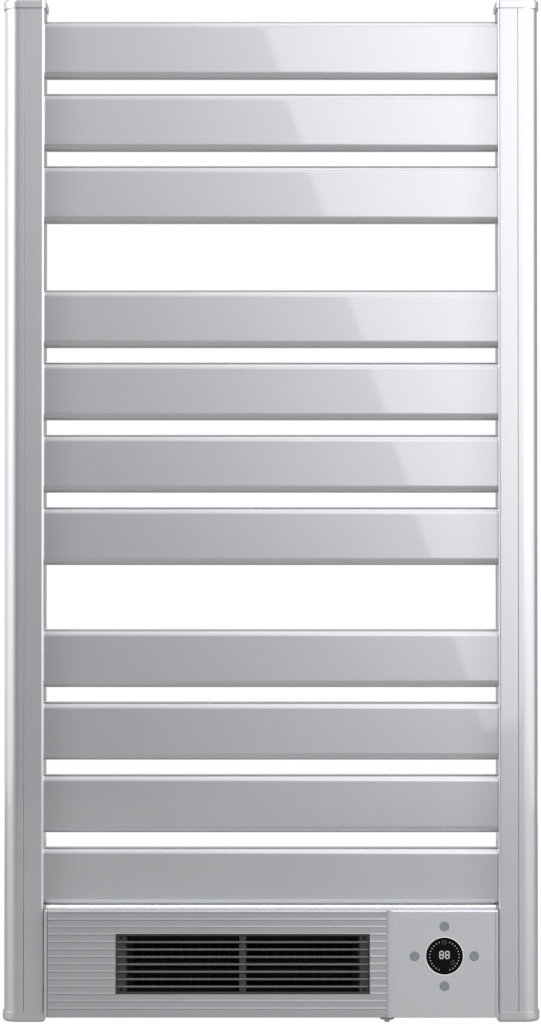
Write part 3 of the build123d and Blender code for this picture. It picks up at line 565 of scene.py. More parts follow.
def makeRoom():
    # a soft studio: dim below, bright to both sides and overhead, and dim behind, apart from a strip of
    # white wall that only reflections show; the camera sees white all round
    world = bpy.data.worlds.new("studio")
    bpy.context.scene.world = world
    world.use_nodes = True
    tree = world.node_tree
    away = addNode(tree, "ShaderNodeTexCoord").outputs["Generated"]
    known = dict(zip("xyz", addNode(tree, "ShaderNodeSeparateXYZ", {}, {0: away}).outputs))
    known["aside"] = addNode(tree, "ShaderNodeMath", {"operation": "ABSOLUTE"}, {0: known["x"]}).outputs[0]
    for name, along, (first, last), low, high in room["steps"]:
        settings = {"interpolation_type": "SMOOTHSTEP", "From Min": first, "From Max": last}
        links = {"Value": known[along]}
        for socket, source in (("To Min", low), ("To Max", high)):
            if source in known:
                links[socket] = known[source]
            else:
                settings[socket] = source
        known[name] = addNode(tree, "ShaderNodeMapRange", settings, links).outputs[0]
    rays = addNode(tree, "ShaderNodeLightPath").outputs
    shiny = addNode(tree, "ShaderNodeMath", {"operation": "MAXIMUM"},
                    {0: rays["Is Glossy Ray"], 1: rays["Is Transmission Ray"]})
    wall = addNode(tree, "ShaderNodeMath", {"operation": "MULTIPLY"}, {0: shiny, 1: known["strip"]})
    white = addNode(tree, "ShaderNodeMath", {"operation": "MAXIMUM"}, {0: wall, 1: rays["Is Camera Ray"]})
    level = addNode(tree, "ShaderNodeMix", {3: room["white"]}, {0: white, 2: known["level"]})
    background = tree.nodes["Background"]
    background.inputs["Color"].default_value = linear("#FFFFFF")
    tree.links.new(level.outputs[0], background.inputs["Strength"])


def makeFloor():
    # pale matt vinyl, which turns into the white backdrop away from the rail
    material = surface(
        "paleMattVinyl", light=floor["light"], dark=floor["dark"], roughness=(0.75, 0.85), grain=(4, 4, 4),
        cloud=300, relief=0.02, shader={"IOR": 1.5})
    tree = material.node_tree
    spot = addNode(tree, "ShaderNodeTexCoord").outputs["Object"]
    reach = addNode(tree, "ShaderNodeVectorMath", {"operation": "LENGTH"}, {0: spot}).outputs["Value"]
    depth = addNode(tree, "ShaderNodeSeparateXYZ", {}, {0: spot}).outputs["Y"]
    rays = addNode(tree, "ShaderNodeLightPath").outputs
    camera = rays["Is Camera Ray"]
    shiny = addNode(tree, "ShaderNodeMath", {"operation": "MAXIMUM"},
                    {0: rays["Is Glossy Ray"], 1: rays["Is Transmission Ray"]})
    seen = addNode(tree, "ShaderNodeMath", {"operation": "MAXIMUM"}, {0: camera, 1: shiny})
    lift = addNode(tree, "ShaderNodeMath", {"operation": "MULTIPLY", 1: floor["lift"]}, {0: seen})
    glow = addNode(tree, "ShaderNodeEmission", {"Color": linear("#FFFFFF")}, {"Strength": lift})
    lit = addNode(tree, "ShaderNodeAddShader", {}, {0: tree.nodes["Principled BSDF"], 1: glow})
    backdrop = addNode(tree, "ShaderNodeEmission", {"Color": linear("#FFFFFF")})
    shown = []
    for value, (near, far), kind in ((reach, floor["seenWhite"], camera),
                                     (depth, floor["mirroredWhite"], shiny)):
        shown.append(addNode(tree, "ShaderNodeMapRange", {
            "interpolation_type": "SMOOTHSTEP", "From Min": near, "From Max": far},
            {"Value": value, "To Max": kind}))
    fade = addNode(tree, "ShaderNodeMath", {"operation": "MAXIMUM"}, {0: shown[0], 1: shown[1]})
    mixed = addNode(tree, "ShaderNodeMixShader", {}, {0: fade, 1: lit, 2: backdrop})
    tree.links.new(mixed.outputs[0], tree.nodes["Material Output"].inputs["Surface"])
    level = cadBounds[0].z / mm - floor["drop"]
    half = floor["side"] / 2
    shape = bmesh.new()
    block(shape, (-half, -half, level - floor["thickness"]), (half, half, level))
    piece = meshObject("floor", shape)
    piece.data.materials.append(material)


makeCamera()
makeLamps()
makeRoom()
makeFloor()
bpy.context.scene.view_settings.view_transform = "Standard"
print("camera, light and floor set")


# Posts: a channel beside the slats and a cover over its outer side

post = {
    "wall": 1.8,
    "wallCorner": 0.4,
    "seamPlace": 19.0,  # from the post's outer side to the seam in its front
    "frontRadius": 14.5,
    "backRadius": 5.0,
    "innerRadius": 2.4,
    "seamGroove": 0.24,  # chamfer on both lips of the seam between channel and cover
    "seamGap": 0.14,  # half the gap
    "lipEdge": 0.05,
    "outward": 0.35,  # how far the covers bulge past the channels' own line
    "steps": 20,  # in each of a cover's corners
}


def postPlan(name):
    # the right post's lines in X and Y
    low, high = cadBox("post_" + name)
    coverLow, coverHigh = cadBox("post_cover_" + name)
    outer = max(abs(coverLow.x), abs(coverHigh.x)) + post["outward"]
    inner = min(abs(low.x), abs(high.x))
    backSeam = max(abs(low.x), abs(high.x))
    return {"outer": outer, "inner": inner, "front": low.y, "back": high.y, "backSeam": backSeam,
            "frontSeam": outer - post["seamPlace"], "low": low.z, "high": high.z}


def channelOutline(plan):
    wall, groove, gap, edge = post["wall"], post["seamGroove"], post["seamGap"], post["lipEdge"]
    seam, backSeam = plan["frontSeam"] - gap, plan["backSeam"] - gap
    front, back, inner = plan["front"], plan["back"], plan["inner"]
    return rounded([
        (seam - groove, front, edge), (seam, front + groove, 0), (seam, front + wall, 0),
        (inner + wall, front + wall, post["wallCorner"]), (inner + wall, back - wall, post["wallCorner"]),
        (backSeam, back - wall, 0), (backSeam, back, edge), (inner, back, post["innerRadius"]),
        (inner, front, post["innerRadius"])])


def coverOutline(plan):
    wall, groove, gap, edge = post["wall"], post["seamGroove"], post["seamGap"], post["lipEdge"]
    seam, backSeam = plan["frontSeam"] + gap, plan["backSeam"] + gap
    front, back, outer = plan["front"], plan["back"], plan["outer"]
    return rounded([
        (seam + groove, front, edge), (outer, front, post["frontRadius"]), (outer, back, post["backRadius"]),
        (backSeam, back, edge), (backSeam, back - wall, 0),
        (outer - wall, back - wall, post["backRadius"] - wall),
        (outer - wall, front + wall, post["frontRadius"] - wall),
        (seam, front + wall, 0), (seam, front + groove, 0)], post["steps"])


def makePosts():
    for side, name in ((-1, "left"), (1, "right")):
        plan = postPlan(name)
        for label, outline, node in (("Channel", channelOutline(plan), "post_" + name),
                                     ("Cover", coverOutline(plan), "post_cover_" + name)):
            shape = bmesh.new()
            prism(shape, [(side * x, y) for x, y in outline], "z", plan["low"], plan["high"])
            piece = meshObject(name + "Post" + label, shape)
            finishPiece(piece, "anodised_aluminium", [node], sharpAngle=22)


postCap = {
    "overhang": 1.4,
    "topRadius": 3.2,
    "rimRadius": 0.06,  # at the edge towards the post
    "leastRadius": 0.3,  # of the neck's inner corners
    "groove": {"top": 0.8, "bottom": 0.3},  # height and depth of the shadow line between cap and post
    "topSteps": 6,
    "rimSteps": 3,
    "cornerSteps": 16,
    "ledgeGap": 0.3,  # to the box that stands on the lower caps
}


def capRings(plan, low, high, groove):
    # a neck in the post's end, and over it the post's outline grown by the overhang, with both edges rounded
    rings = []
    neck, rim = postCap["overhang"] + groove, low + groove
    levels = [(neck, low), (neck, rim)]
    levels += [(postCap["rimRadius"] * (1 - sine), rim + postCap["rimRadius"] * (1 - cosine))
               for sine, cosine in quarter(postCap["rimSteps"])]
    levels += [(postCap["topRadius"] * (1 - cosine), high - postCap["topRadius"] * (1 - sine))
               for sine, cosine in quarter(postCap["topSteps"])]
    for inset, z in levels:
        grow = postCap["overhang"] - inset
        inner, outer = plan["inner"] - grow, plan["outer"] + grow
        front, back = plan["front"] - grow, plan["back"] + grow
        innerRadius = max(post["innerRadius"] + grow, postCap["leastRadius"])
        outline = rounded([
            (inner, front, innerRadius), (outer, front, post["frontRadius"] + grow),
            (outer, back, post["backRadius"] + grow), (inner, back, innerRadius)], postCap["cornerSteps"])
        rings.append([(x, y, z) for x, y in outline])
    return rings


def makeCaps():
    boxLow, boxHigh = cadBox("box_end_right")
    for side, name in ((-1, "left"), (1, "right")):
        plan = postPlan(name)
        for end in ("top", "bottom"):
            node = "cap_" + end + "_" + name
            low, high = cadBox(node)
            groove = postCap["groove"][end]
            shape = bmesh.new()
            if end == "top":
                rings = capRings(plan, plan["high"], high.z, groove)
            else:
                rings = [[(x, y, low.z + plan["low"] - z) for x, y, z in ring]
                         for ring in capRings(plan, low.z, plan["low"], groove)]
            loft(shape, [[(side * x, y, z) for x, y, z in ring] for ring in rings])
            piece = meshObject(name + end.capitalize() + "Cap", shape)
            cutter = None
            if end == "bottom":
                ledge = bmesh.new()
                gap = postCap["ledgeGap"]
                left, right = sorted((side * (plan["inner"] - past), side * (boxHigh.x + gap)))
                block(ledge, (left, low.y - past, boxLow.z - gap), (right, high.y + past, high.z + past))
                cutter = meshObject("capCutter", ledge)
            finishPiece(piece, "anodised_aluminium", [node], cutter=cutter, sharpAngle=25)


makePosts()
makeCaps()
print("posts and caps made")


# Slats: one rounded section on every slat's middle

slat = {"edgeRadius": 7.0, "edgeSteps": 12}


def makeSlats():
    names = sorted(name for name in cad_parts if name.removeprefix("slat_").isdigit())
    boxes = [cadBox(name) for name in names]
    size = boxes[0][1] - boxes[0][0]
    piece = grown("slats", trees["bars"], [(low + high) / 2 for low, high in boxes], {
        "Length": size.x * mm, "Height": size.z * mm, "Thickness": size.y * mm,
        "Edge Radius": slat["edgeRadius"] * mm, "Edge Steps": slat["edgeSteps"]}, "anodised_slat")
    finishPiece(piece, "anodised_slat", names, sharpAngle=25)


makeSlats()
print("slats made")


# Heater box

ribs = {
    "count": 14,
    "top": 2.6,  # from the panel's top to the first crest
    "bottom": 8.0,
    "depth": 0.3,
    "rise": 1.7,  # height over which a face comes out to its crest
    "slot": 0.6,
    "slotDepth": 1.3,
    "slotRadius": 0.1,
    "crestRadius": 0.15,
    "footRadius": 1.2,
    "edge": 0.5,
    "topEdge": 2.3,  # on the whole front of the box
    "endGap": 1.0,  # to the box end
    "outletGap": 0.2,
    "steps": 4,
}


def ribOutline(low, high):
    # flat faces, each with a low crest at its foot and a fine slot under that; drawn in Y and Z
    front, back, face, deep = low.y, high.y, low.y + ribs["depth"], low.y + ribs["slotDepth"]
    soft = ribs["slotRadius"]
    pitch = (high.z - low.z - ribs["top"] - ribs["bottom"]) / (ribs["count"] - 1)
    outline = [(back, low.z, 0), (back, high.z, 0), (front + ribs["depth"] / 2, high.z, ribs["topEdge"])]
    for k in range(ribs["count"]):
        z = high.z - ribs["top"] - k * pitch
        if k:
            outline.append((face, z + ribs["rise"], ribs["footRadius"]))
        outline += [(front, z, ribs["crestRadius"]), (deep, z, soft), (deep, z - ribs["slot"], soft),
                    (face, z - ribs["slot"], soft)]
    outline.append((face, low.z, ribs["edge"]))
    return rounded(outline, ribs["steps"])


def topEdgeCutter(shape, low, high):
    # what rounds an upper front edge
    radius = ribs["topEdge"]
    curve = rounded([(low.y, high.z - radius - past, 0), (low.y, high.z, radius),
                     (low.y + radius + past, high.z, 0)])
    outline = [(low.y - past, high.z + past), (low.y - past, high.z - radius)] + curve[1:-1]
    prism(shape, outline + [(low.y + radius, high.z + past)], "x", low.x - past, high.x + past)


def makeFrontPanel():
    low, high = cadBox("front_panel")
    outletLow, outletHigh = cadBox("outlet_grille")
    gap = ribs["outletGap"]
    shape = bmesh.new()
    prism(shape, ribOutline(low, high), "x", low.x + ribs["endGap"], high.x)
    hole = bmesh.new()
    block(hole, (outletLow.x - gap, low.y - past, outletLow.z - gap),
          (outletHigh.x + gap, high.y + past, outletHigh.z + gap))
    # the ribbed panel's darker finish is painted shade
    finishPiece(meshObject("ribbedPanel", shape), "ribsPaintedShade", ["front_panel"],
                cutter=meshObject("outletCutter", hole), sharpAngle=28)


control = {
    "groove": 1.6,
    "band": 3.3,
    "bandDepth": 0.5,
    "bandRadius": 0.2,
    "faceRadius": 0.15,  # where the band rises to the face
    "edge": 0.8,  # chamfer along the face's top and bottom
    "edgeDepth": 0.3,  # behind the face, to which an edge still gets the chamfer
    "buttonGap": 0.25,
    "dialGap": 1.1,
    "steps": 4,
}


def dialPlace():
    low, high = cadBox("display_window")
    return (low.x + high.x) / 2, (low.z + high.z) / 2, (high.x - low.x) / 2


def makeControlPanel():
    low, high = cadBox("control_panel")
    back = cadBox("front_panel")[1].y
    bandStart = low.x + control["groove"]
    face = bandStart + control["band"]
    step = low.y + control["bandDepth"]
    floorY = low.y + control["groove"]
    soft = control["bandRadius"]
    outline = rounded([
        (low.x, back, 0), (low.x, floorY, soft), (bandStart, floorY, soft), (bandStart, step, soft),
        (face, step, control["faceRadius"]), (face, low.y, soft), (high.x, low.y, 0), (high.x, back, 0)],
        control["steps"])
    shape = bmesh.new()
    prism(shape, outline, "z", low.z, high.z)
    ends = [edge for edge in shape.edges
            if all(abs(vertex.co.y - low.y) < control["edgeDepth"] and vertex.co.z == edge.verts[0].co.z
                   for vertex in edge.verts)]
    bmesh.ops.bevel(shape, geom=ends, offset=control["edge"], segments=control["steps"], profile=0.5,
                    affect="EDGES")
    x, z, radius = dialPlace()
    openings = [(x, z, radius + control["dialGap"], 96)]
    for name in ("top", "left", "right", "bottom"):
        x, z, radius = buttonPlace(name)
        openings.append((x, z, radius + control["buttonGap"], 48))
    holes = bmesh.new()
    for x, z, radius, steps in openings:
        turned(holes, [(radius, low.y - past), (radius, high.y + past)], "y", (x, z), steps)
    topEdgeCutter(holes, low, high)
    finishPiece(meshObject("controlPanel", shape), "silver_panel", ["control_panel"],
                cutter=meshObject("panelCutter", holes), sharpAngle=28)


button = {
    "flange": 1.6,
    "flangePlace": (0.1, 1.3),  # its front and back, behind the panel
    "edge": 0.45,
    "dish": 0.25,
    "centre": 0.02,  # the innermost ring's share of the dish
    "stem": 1.5,
    "steps": 5,
}


def buttonPlace(name):
    low, high = cadBox("button_" + name)
    return (low.x + high.x) / 2, (low.z + high.z) / 2, (high.x - low.x) / 2 - button["flange"]


def makeButtons():
    # a moulded cap with a shallow dish, a flange that keeps it in the panel and a stem to its switch
    front, rear = (cadBox("front_panel")[1].y + place for place in button["flangePlace"])
    edge, centre, steps = button["edge"], button["centre"], button["steps"]
    for name in ("top", "left", "right", "bottom"):
        x, z, radius = buttonPlace(name)
        low, high = cadBox("button_" + name)
        shares = [centre + (1 - centre) * k / steps for k in range(steps + 1)]
        profile = [((radius - edge) * share, low.y + button["dish"] * (1 - share ** 2)) for share in shares]
        profile += [(radius - edge * (1 - sine), low.y + edge * (1 - cosine))
                    for sine, cosine in quarter(steps, 1)]
        profile += [(radius, front), (radius + button["flange"], front), (radius + button["flange"], rear),
                    (button["stem"], rear), (button["stem"], high.y)]
        shape = bmesh.new()
        turned(shape, profile, "y", (x, z), steps=48)
        finishPiece(meshObject(name + "Button", shape), "button_grey", ["button_" + name], "button_" + name)


boxEnd = {
    "outerFace": 1.7,  # in from the solid's
    "innerFace": 4.0,
    "corner": 2.25,
    "edge": 0.5,
}


def makeBoxEnds():
    # a plain plate with rounded corners and eased edges
    for side, name in ((-1, "left"), (1, "right")):
        low, high = cadBox("box_end_" + name)
        reach = max(abs(low.x), abs(high.x))
        outer, inner = side * (reach - boxEnd["outerFace"]), side * (reach - boxEnd["innerFace"])
        corner = boxEnd["corner"]
        shape = bmesh.new()
        prism(shape, rounded([(inner, low.z, 0), (outer, low.z, corner), (outer, high.z, corner),
                              (inner, high.z, 0)]), "y", low.y, high.y)
        cutter = bmesh.new()
        topEdgeCutter(cutter, low, high)
        finishPiece(meshObject(name + "BoxEnd", shape), "silver_panel", ["box_end_" + name],
                    bevel=boxEnd["edge"], cutter=meshObject("edgeCutter", cutter), sharpAngle=25)


housing = {
    "wall": 2.0,
    "mouth": 7.0,  # height of the lips at its open front
    "backRadius": 1.6,
    "intakeRim": 3.0,  # the intake's flange inside the wall
    "holes": {"cable_gland": 8.0, "sensor_collar": 4.0},  # radius, under the box
    "steps": 6,
}


def makeHousing():
    low, high = cadBox("heater_housing")
    wall, mouth = housing["wall"], housing["mouth"]
    front, back = low.y, high.y
    outline = rounded([
        (front, low.z + mouth, 0), (front, low.z, 0), (back, low.z, housing["backRadius"]),
        (back, high.z, housing["backRadius"]), (front, high.z, 0), (front, high.z - mouth, 0),
        (front + wall, high.z - mouth, 0), (front + wall, high.z - wall, 0), (back - wall, high.z - wall, 0),
        (back - wall, low.z + wall, 0), (front + wall, low.z + wall, 0), (front + wall, low.z + mouth, 0)],
        housing["steps"])
    shape = bmesh.new()
    prism(shape, outline, "x", low.x, high.x)
    intakeLow, intakeHigh = cadBox("intake_grille")
    rim = housing["intakeRim"]
    holes = bmesh.new()
    block(holes, (intakeLow.x + rim, back - past, intakeLow.z + rim),
          (intakeHigh.x - rim, back + past, intakeHigh.z - rim))
    for node, radius in housing["holes"].items():
        turned(holes, [(radius, low.z - past), (radius, low.z + past)], "z", middleXY(node), steps=48)
    finishPiece(meshObject("boxHousing", shape), "housing_coat", ["heater_housing"],
                cutter=meshObject("housingCutter", holes), sharpAngle=28)


def aimBackLamp():
    # it brightens the box's top alone, and leaves no mark on the slats' backs
    only = bpy.data.collections.new("litFromBehind")
    for name in ("boxHousing", "ribbedPanel", "controlPanel", "leftBoxEnd", "rightBoxEnd"):
        only.objects.link(bpy.data.objects[name])
    bpy.data.objects["backLow"].light_linking.receiver_collection = only


makeFrontPanel()
makeControlPanel()
makeButtons()
makeBoxEnds()
makeHousing()
aimBackLamp()
print("heater box made")


# Air outlet

grille = {
    "wall": 1.0,
    "rim": 2.0,  # along the top and the bottom
    "side": 9.3,  # plates at both ends that the screws go through
    "sideSetback": 1.8,
    "barCount": 7,
    "barMargin": 7.3,
    "barDrop": 0.5,  # of all bars from the middle
    "barHeight": 1.9,
    "barDepth": 4.5,
    "barEdge": 0.85,
    "barSteps": 4,
    "mullion": 6.4,
    "mullionSetback": 1.4,
    "outerRadius": 0.4,
    "innerRadius": 0.3,
    "edge": 0.25,
}


def rectangle(left, right, foot, top, radius):
    corners = [(left, foot), (right, foot), (right, top), (left, top)]
    return rounded([(u, v, radius) for u, v in corners], steps=3)


def makeGrille():
    # a frame with a plate at each end and a middle post, and thin bars across the front of all three
    low, high = cadBox("outlet_grille")
    wall, rim, side = grille["wall"], grille["rim"], grille["side"]
    front, back = low.y, high.y
    middle = (low.x + high.x) / 2
    shape = bmesh.new()
    outer = rectangle(low.x, high.x, low.z, high.z, grille["outerRadius"])
    inner = rectangle(low.x + wall, high.x - wall, low.z + rim, high.z - rim, grille["innerRadius"])
    tube(shape, [(outer, front), (outer, back), (inner, back), (inner, front)], "y")
    plates = [(low.x + wall / 2, low.x + side, grille["sideSetback"]),
              (high.x - side, high.x - wall / 2, grille["sideSetback"]),
              (middle - grille["mullion"] / 2, middle + grille["mullion"] / 2, grille["mullionSetback"])]
    for left, right, setback in plates:
        block(shape, (left, front + setback, low.z + rim / 2), (right, back, high.z - rim / 2))
    finishPiece(meshObject("outletFrame", shape), "black_grille", ["outlet_grille"], bevel=grille["edge"],
                sharpAngle=30)
    centre = (low.z + high.z) / 2 - grille["barDrop"]
    pitch = (high.z - low.z - 2 * grille["barMargin"]) / (grille["barCount"] - 1)
    rows = [centre + (k - (grille["barCount"] - 1) / 2) * pitch for k in range(grille["barCount"])]
    # the bars' lighter grey is a painted highlight
    bars = grown("outletBars", trees["bars"], [(middle, front + grille["barDepth"] / 2, z) for z in rows], {
        "Length": (high.x - low.x - wall) * mm, "Height": grille["barHeight"] * mm,
        "Thickness": grille["barDepth"] * mm, "Edge Radius": grille["barEdge"] * mm,
        "Edge Steps": grille["barSteps"]}, "barsPaintedHighlight")
    finishPiece(bars, "barsPaintedHighlight", [])


screw = {
    "head": 1.5,
    "headHeight": 0.6,
    "headShape": ((0.55, 0.95), (0.82, 0.75), (0.96, 0.4), (1, 0.1), (1, 0)),  # in its radius and height
    "solidHead": 2.2,  # radius of the solids' heads
    "crossWidth": 0.45,
    "crossLength": 1.7,
    "crossDepth": 0.4,
    "shank": 1.1,
    "length": 7.0,
}


def screwUnit():
    # a pan head with a cross recess, seen from the front; the seat is at the origin
    head, rise = screw["head"], screw["headHeight"]
    shape = bmesh.new()
    profile = [(pole, -rise)] + [(head * across, -rise * up) for across, up in screw["headShape"]]
    turned(shape, profile + [(screw["shank"], 0), (screw["shank"], screw["length"])], "y", (0, 0), steps=32)
    unit = meshObject("screwUnit", shape)
    wide, long, deep = screw["crossWidth"] / 2, screw["crossLength"] / 2, screw["crossDepth"]
    for width, height in ((long, wide), (wide, long)):
        recess = bmesh.new()
        block(recess, (-width, -rise - past, -height), (width, -rise + deep, height))
        carve(unit, meshObject("crossCutter", recess))
    return unit


def makeScrews():
    # blackened screws that hold the grille, in the plates at its ends
    front = cadBox("outlet_grille")[0].y + grille["sideSetback"]
    low, high = cadBox("grille_screws")
    middle = (low + high) / 2
    across, up = (high.x - low.x) / 2 - screw["solidHead"], (high.z - low.z) / 2 - screw["solidHead"]
    places = [(middle.x + side * across, front, middle.z + row * up) for side in (-1, 1) for row in (-1, 1)]
    unit = screwUnit()
    piece = grown("outletScrews", trees["units"], places, {"Unit": unit}, "blackenedSteel")
    bpy.data.objects.remove(unit)
    finishPiece(piece, "blackenedSteel", ["grille_screws"])


makeGrille()
makeScrews()
print("air outlet made")


# Display

display = {
    "bezelWidth": 0.95,
    "bezelInner": ((0, 0.25), (0.12, 0.08), (0.32, 0)),  # its front edges, outwards from the glass and back
    "bezelOuter": ((0.3, 0), (0.1, 0.08), (0, 0.3)),  # and inwards from its rim and back
    "flange": 1.8,  # behind the panel
    "flangeThickness": 1.2,
    "glassEdge": ((0.35, 0), (0.15, 0.08), (0.04, 0.25)),  # inwards from its rim and back
    "glassGap": 0.02,
    "glassPole": 0.2,
    "digitHeight": 7.5,
    "digitWidth": 4.4,
    "digitGap": 1.0,
    "stroke": 1.1,
    "levelShort": 0.99,  # how much shorter a level segment is than its digit is wide
    "uprightShort": 0.1,
    "digitRise": 1.1,  # above the dial's middle
    "print": 0.05,  # thickness of what is printed on the glass
    "dotRadius": 0.5,
    "dotSides": 16,
    "dotCount": 12,
    "dotRing": 13.6,
    "dotFrom": 21.0,  # degrees from the top, on both sides
    "dotTo": 158.0,
    "iconRadius": 2.0,
    "iconStroke": 0.5,
    "icons": ((-0.2, 12.7), (7.8, -6.0)),  # from the dial's middle
}


def makeDial():
    x, z, radius = dialPlace()
    front = cadBox("display_bezel")[0].y
    panelBack = cadBox("front_panel")[1].y
    rim, flange = radius + display["bezelWidth"], radius + display["bezelWidth"] + display["flange"]
    behind = panelBack + display["flangeThickness"]
    profile = [(radius, behind)] + [(radius + out, front + back) for out, back in display["bezelInner"]]
    profile += [(rim - inwards, front + back) for inwards, back in display["bezelOuter"]]
    profile += [(rim, panelBack), (flange, panelBack), (flange, behind)]
    shape = bmesh.new()
    turned(shape, profile, "y", (x, z), steps=96, closed=True)
    finishPiece(meshObject("dialRim", shape), "bezel_chrome", ["display_bezel"], sharpAngle=30)
    low, high = cadBox("display_window")
    profile = [(display["glassPole"], low.y)]
    profile += [(radius - inwards, low.y + back) for inwards, back in display["glassEdge"]]
    profile += [(radius - display["glassGap"], high.y), (display["glassPole"], high.y)]
    glass = bmesh.new()
    turned(glass, profile, "y", (x, z), steps=96)
    finishPiece(meshObject("dialGlass", glass), "display_glass", ["display_window"], sharpAngle=30)


def segment(shape, x, z, width, height, front, back):
    # one bar of a digit with pointed ends, along its longer side
    tip = min(width, height) / 2
    if width > height:
        outline = [(x - width / 2, z), (x - width / 2 + tip, z - tip), (x + width / 2 - tip, z - tip),
                   (x + width / 2, z), (x + width / 2 - tip, z + tip), (x - width / 2 + tip, z + tip)]
    else:
        outline = [(x, z - height / 2), (x + tip, z - height / 2 + tip), (x + tip, z + height / 2 - tip),
                   (x, z + height / 2), (x - tip, z + height / 2 - tip), (x - tip, z - height / 2 + tip)]
    prism(shape, outline, "y", front, back)


def makeDigits():
    x, z = dialPlace()[:2]
    back = cadBox("display_window")[0].y
    front = back - display["print"]
    width, height, stroke = display["digitWidth"], display["digitHeight"], display["stroke"]
    middle = z + display["digitRise"]
    across, tall = width - display["levelShort"], (height - stroke) / 2 - display["uprightShort"]
    shape = bmesh.new()
    for side in (-1, 1):
        centre = x + side * (width + display["digitGap"]) / 2
        for row in (-1, 0, 1):
            segment(shape, centre, middle + row * (height - stroke) / 2, across, stroke, front, back)
        for column in (-1, 1):
            for row in (-1, 1):
                segment(shape, centre + column * (width - stroke) / 2, middle + row * (height - stroke) / 4,
                        stroke, tall, front, back)
    finishPrinted(meshObject("dialDigits", shape), "segments")
    for side, label in ((1, "Right"), (-1, "Left")):
        first, last = (math.radians(side * display[key]) for key in ("dotFrom", "dotTo"))
        dots = grown("dialDots" + label, trees["ring"], [(0, 0, 0)], {
            "Count": display["dotCount"], "Ring Radius": display["dotRing"] * mm, "First Angle": first,
            "Last Angle": last, "Dot Radius": display["dotRadius"] * mm, "Dot Sides": display["dotSides"],
            "Thickness": display["print"] * mm}, "segments")
        dots.data.transform(Matrix.Translation(Vector((x, front + display["print"] / 2, z)) * mm))
        finishPrinted(dots, "segments")
    icons = bmesh.new()
    outer, inner = display["iconRadius"], display["iconRadius"] - display["iconStroke"]
    for across, up in display["icons"]:
        turned(icons, [(inner, front), (outer, front), (outer, back), (inner, back)], "y",
               (x + across, z + up), steps=32, closed=True)
    finishPrinted(meshObject("dialIcons", icons), "dimSegments")


def finishPrinted(piece, finish):
    piece.data.materials.clear()
    piece.data.materials.append(finishes[finish])
    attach(piece, "frame")


makeDial()
makeDigits()
print("display made")


# Wall fixings

fixing = {
    "cupRadius": 13.0,
    "bore": 9.1,
    "screwHole": 2.75,
    "cupFloor": 3.0,
    "cupEdge": 1.6,
    "wallEdge": 0.3,
    "grubRadius": 2.0,
    "grubEdges": (0.2, 0.3),  # inner and outer
    "grubHeight": 6.0,  # from the wall
    "grubSunk": 0.4,
    "socket": 1.05,  # hexagon's corner radius
    "socketDepth": 1.6,
}


def cupUnit(depth):
    # a turned cup against the wall, drilled from below for its grub screw
    radius, bore, hole = fixing["cupRadius"], fixing["bore"], fixing["screwHole"]
    shape = bmesh.new()
    profile = rounded([
        (hole, 0, 0), (radius, 0, fixing["wallEdge"]), (radius, -depth, fixing["cupEdge"]),
        (bore, -depth, fixing["wallEdge"]), (bore, -fixing["cupFloor"], 0), (hole, -fixing["cupFloor"], 0)],
        steps=5)
    turned(shape, profile, "y", (0, 0), steps=72, closed=True)
    unit = meshObject("cupUnit", shape)
    drill = bmesh.new()
    turned(drill, [(fixing["grubRadius"], -radius - past), (fixing["grubRadius"], past - bore)], "z",
           (0, -fixing["grubHeight"]), steps=24)
    carve(unit, meshObject("grubDrill", drill))
    return unit


def grubUnit():
    # a set screw with a hexagon socket, just below its hole's mouth
    radius, bore, sunk = fixing["cupRadius"], fixing["bore"], fixing["grubSunk"]
    centre = (0, -fixing["grubHeight"])
    shape = bmesh.new()
    profile = rounded([
        (pole, -bore, 0), (fixing["grubRadius"], -bore, fixing["grubEdges"][0]),
        (fixing["grubRadius"], sunk - radius, fixing["grubEdges"][1]), (pole, sunk - radius, 0)], steps=3)
    turned(shape, profile, "z", centre, steps=24)
    unit = meshObject("grubUnit", shape)
    socket = bmesh.new()
    turned(socket, [(fixing["socket"], -radius - past), (fixing["socket"], fixing["socketDepth"] - radius)],
           "z", centre, steps=6)
    carve(unit, meshObject("socketCutter", socket))
    return unit


def makeWallFixings():
    low, high = cadBox("wall_cups")
    across, up = high.x - fixing["cupRadius"], -low.z - fixing["cupRadius"]
    places = [(side * across, 0, row * up) for side in (-1, 1) for row in (-1, 1)]
    cup = cupUnit(high.y - low.y)
    for name, unit, finish, node in (("wallCups", cup, "anodised_aluminium", "wall_cups"),
                                     ("grubScrews", grubUnit(), "zinc_steel", "grub_screws")):
        piece = grown(name, trees["units"], places, {"Unit": unit}, finish)
        bpy.data.objects.remove(unit)
        finishPiece(piece, finish, [node], sharpAngle=28)


# Air intake in the box's back

intake = {
    "flange": 1.2,  # thickness
    "wallGap": 0.05,
    "edge": 0.3,
    "barCount": 4,
    "barHeight": 2.4,
    "barEdge": 0.7,
    "barSteps": 4,
    "ribCount": 5,
    "ribSetbacks": (0.2, 0.5),  # inside and outside
    "ribReach": 1.5,  # into the frame, in rims
    "corner": 0.6,
}


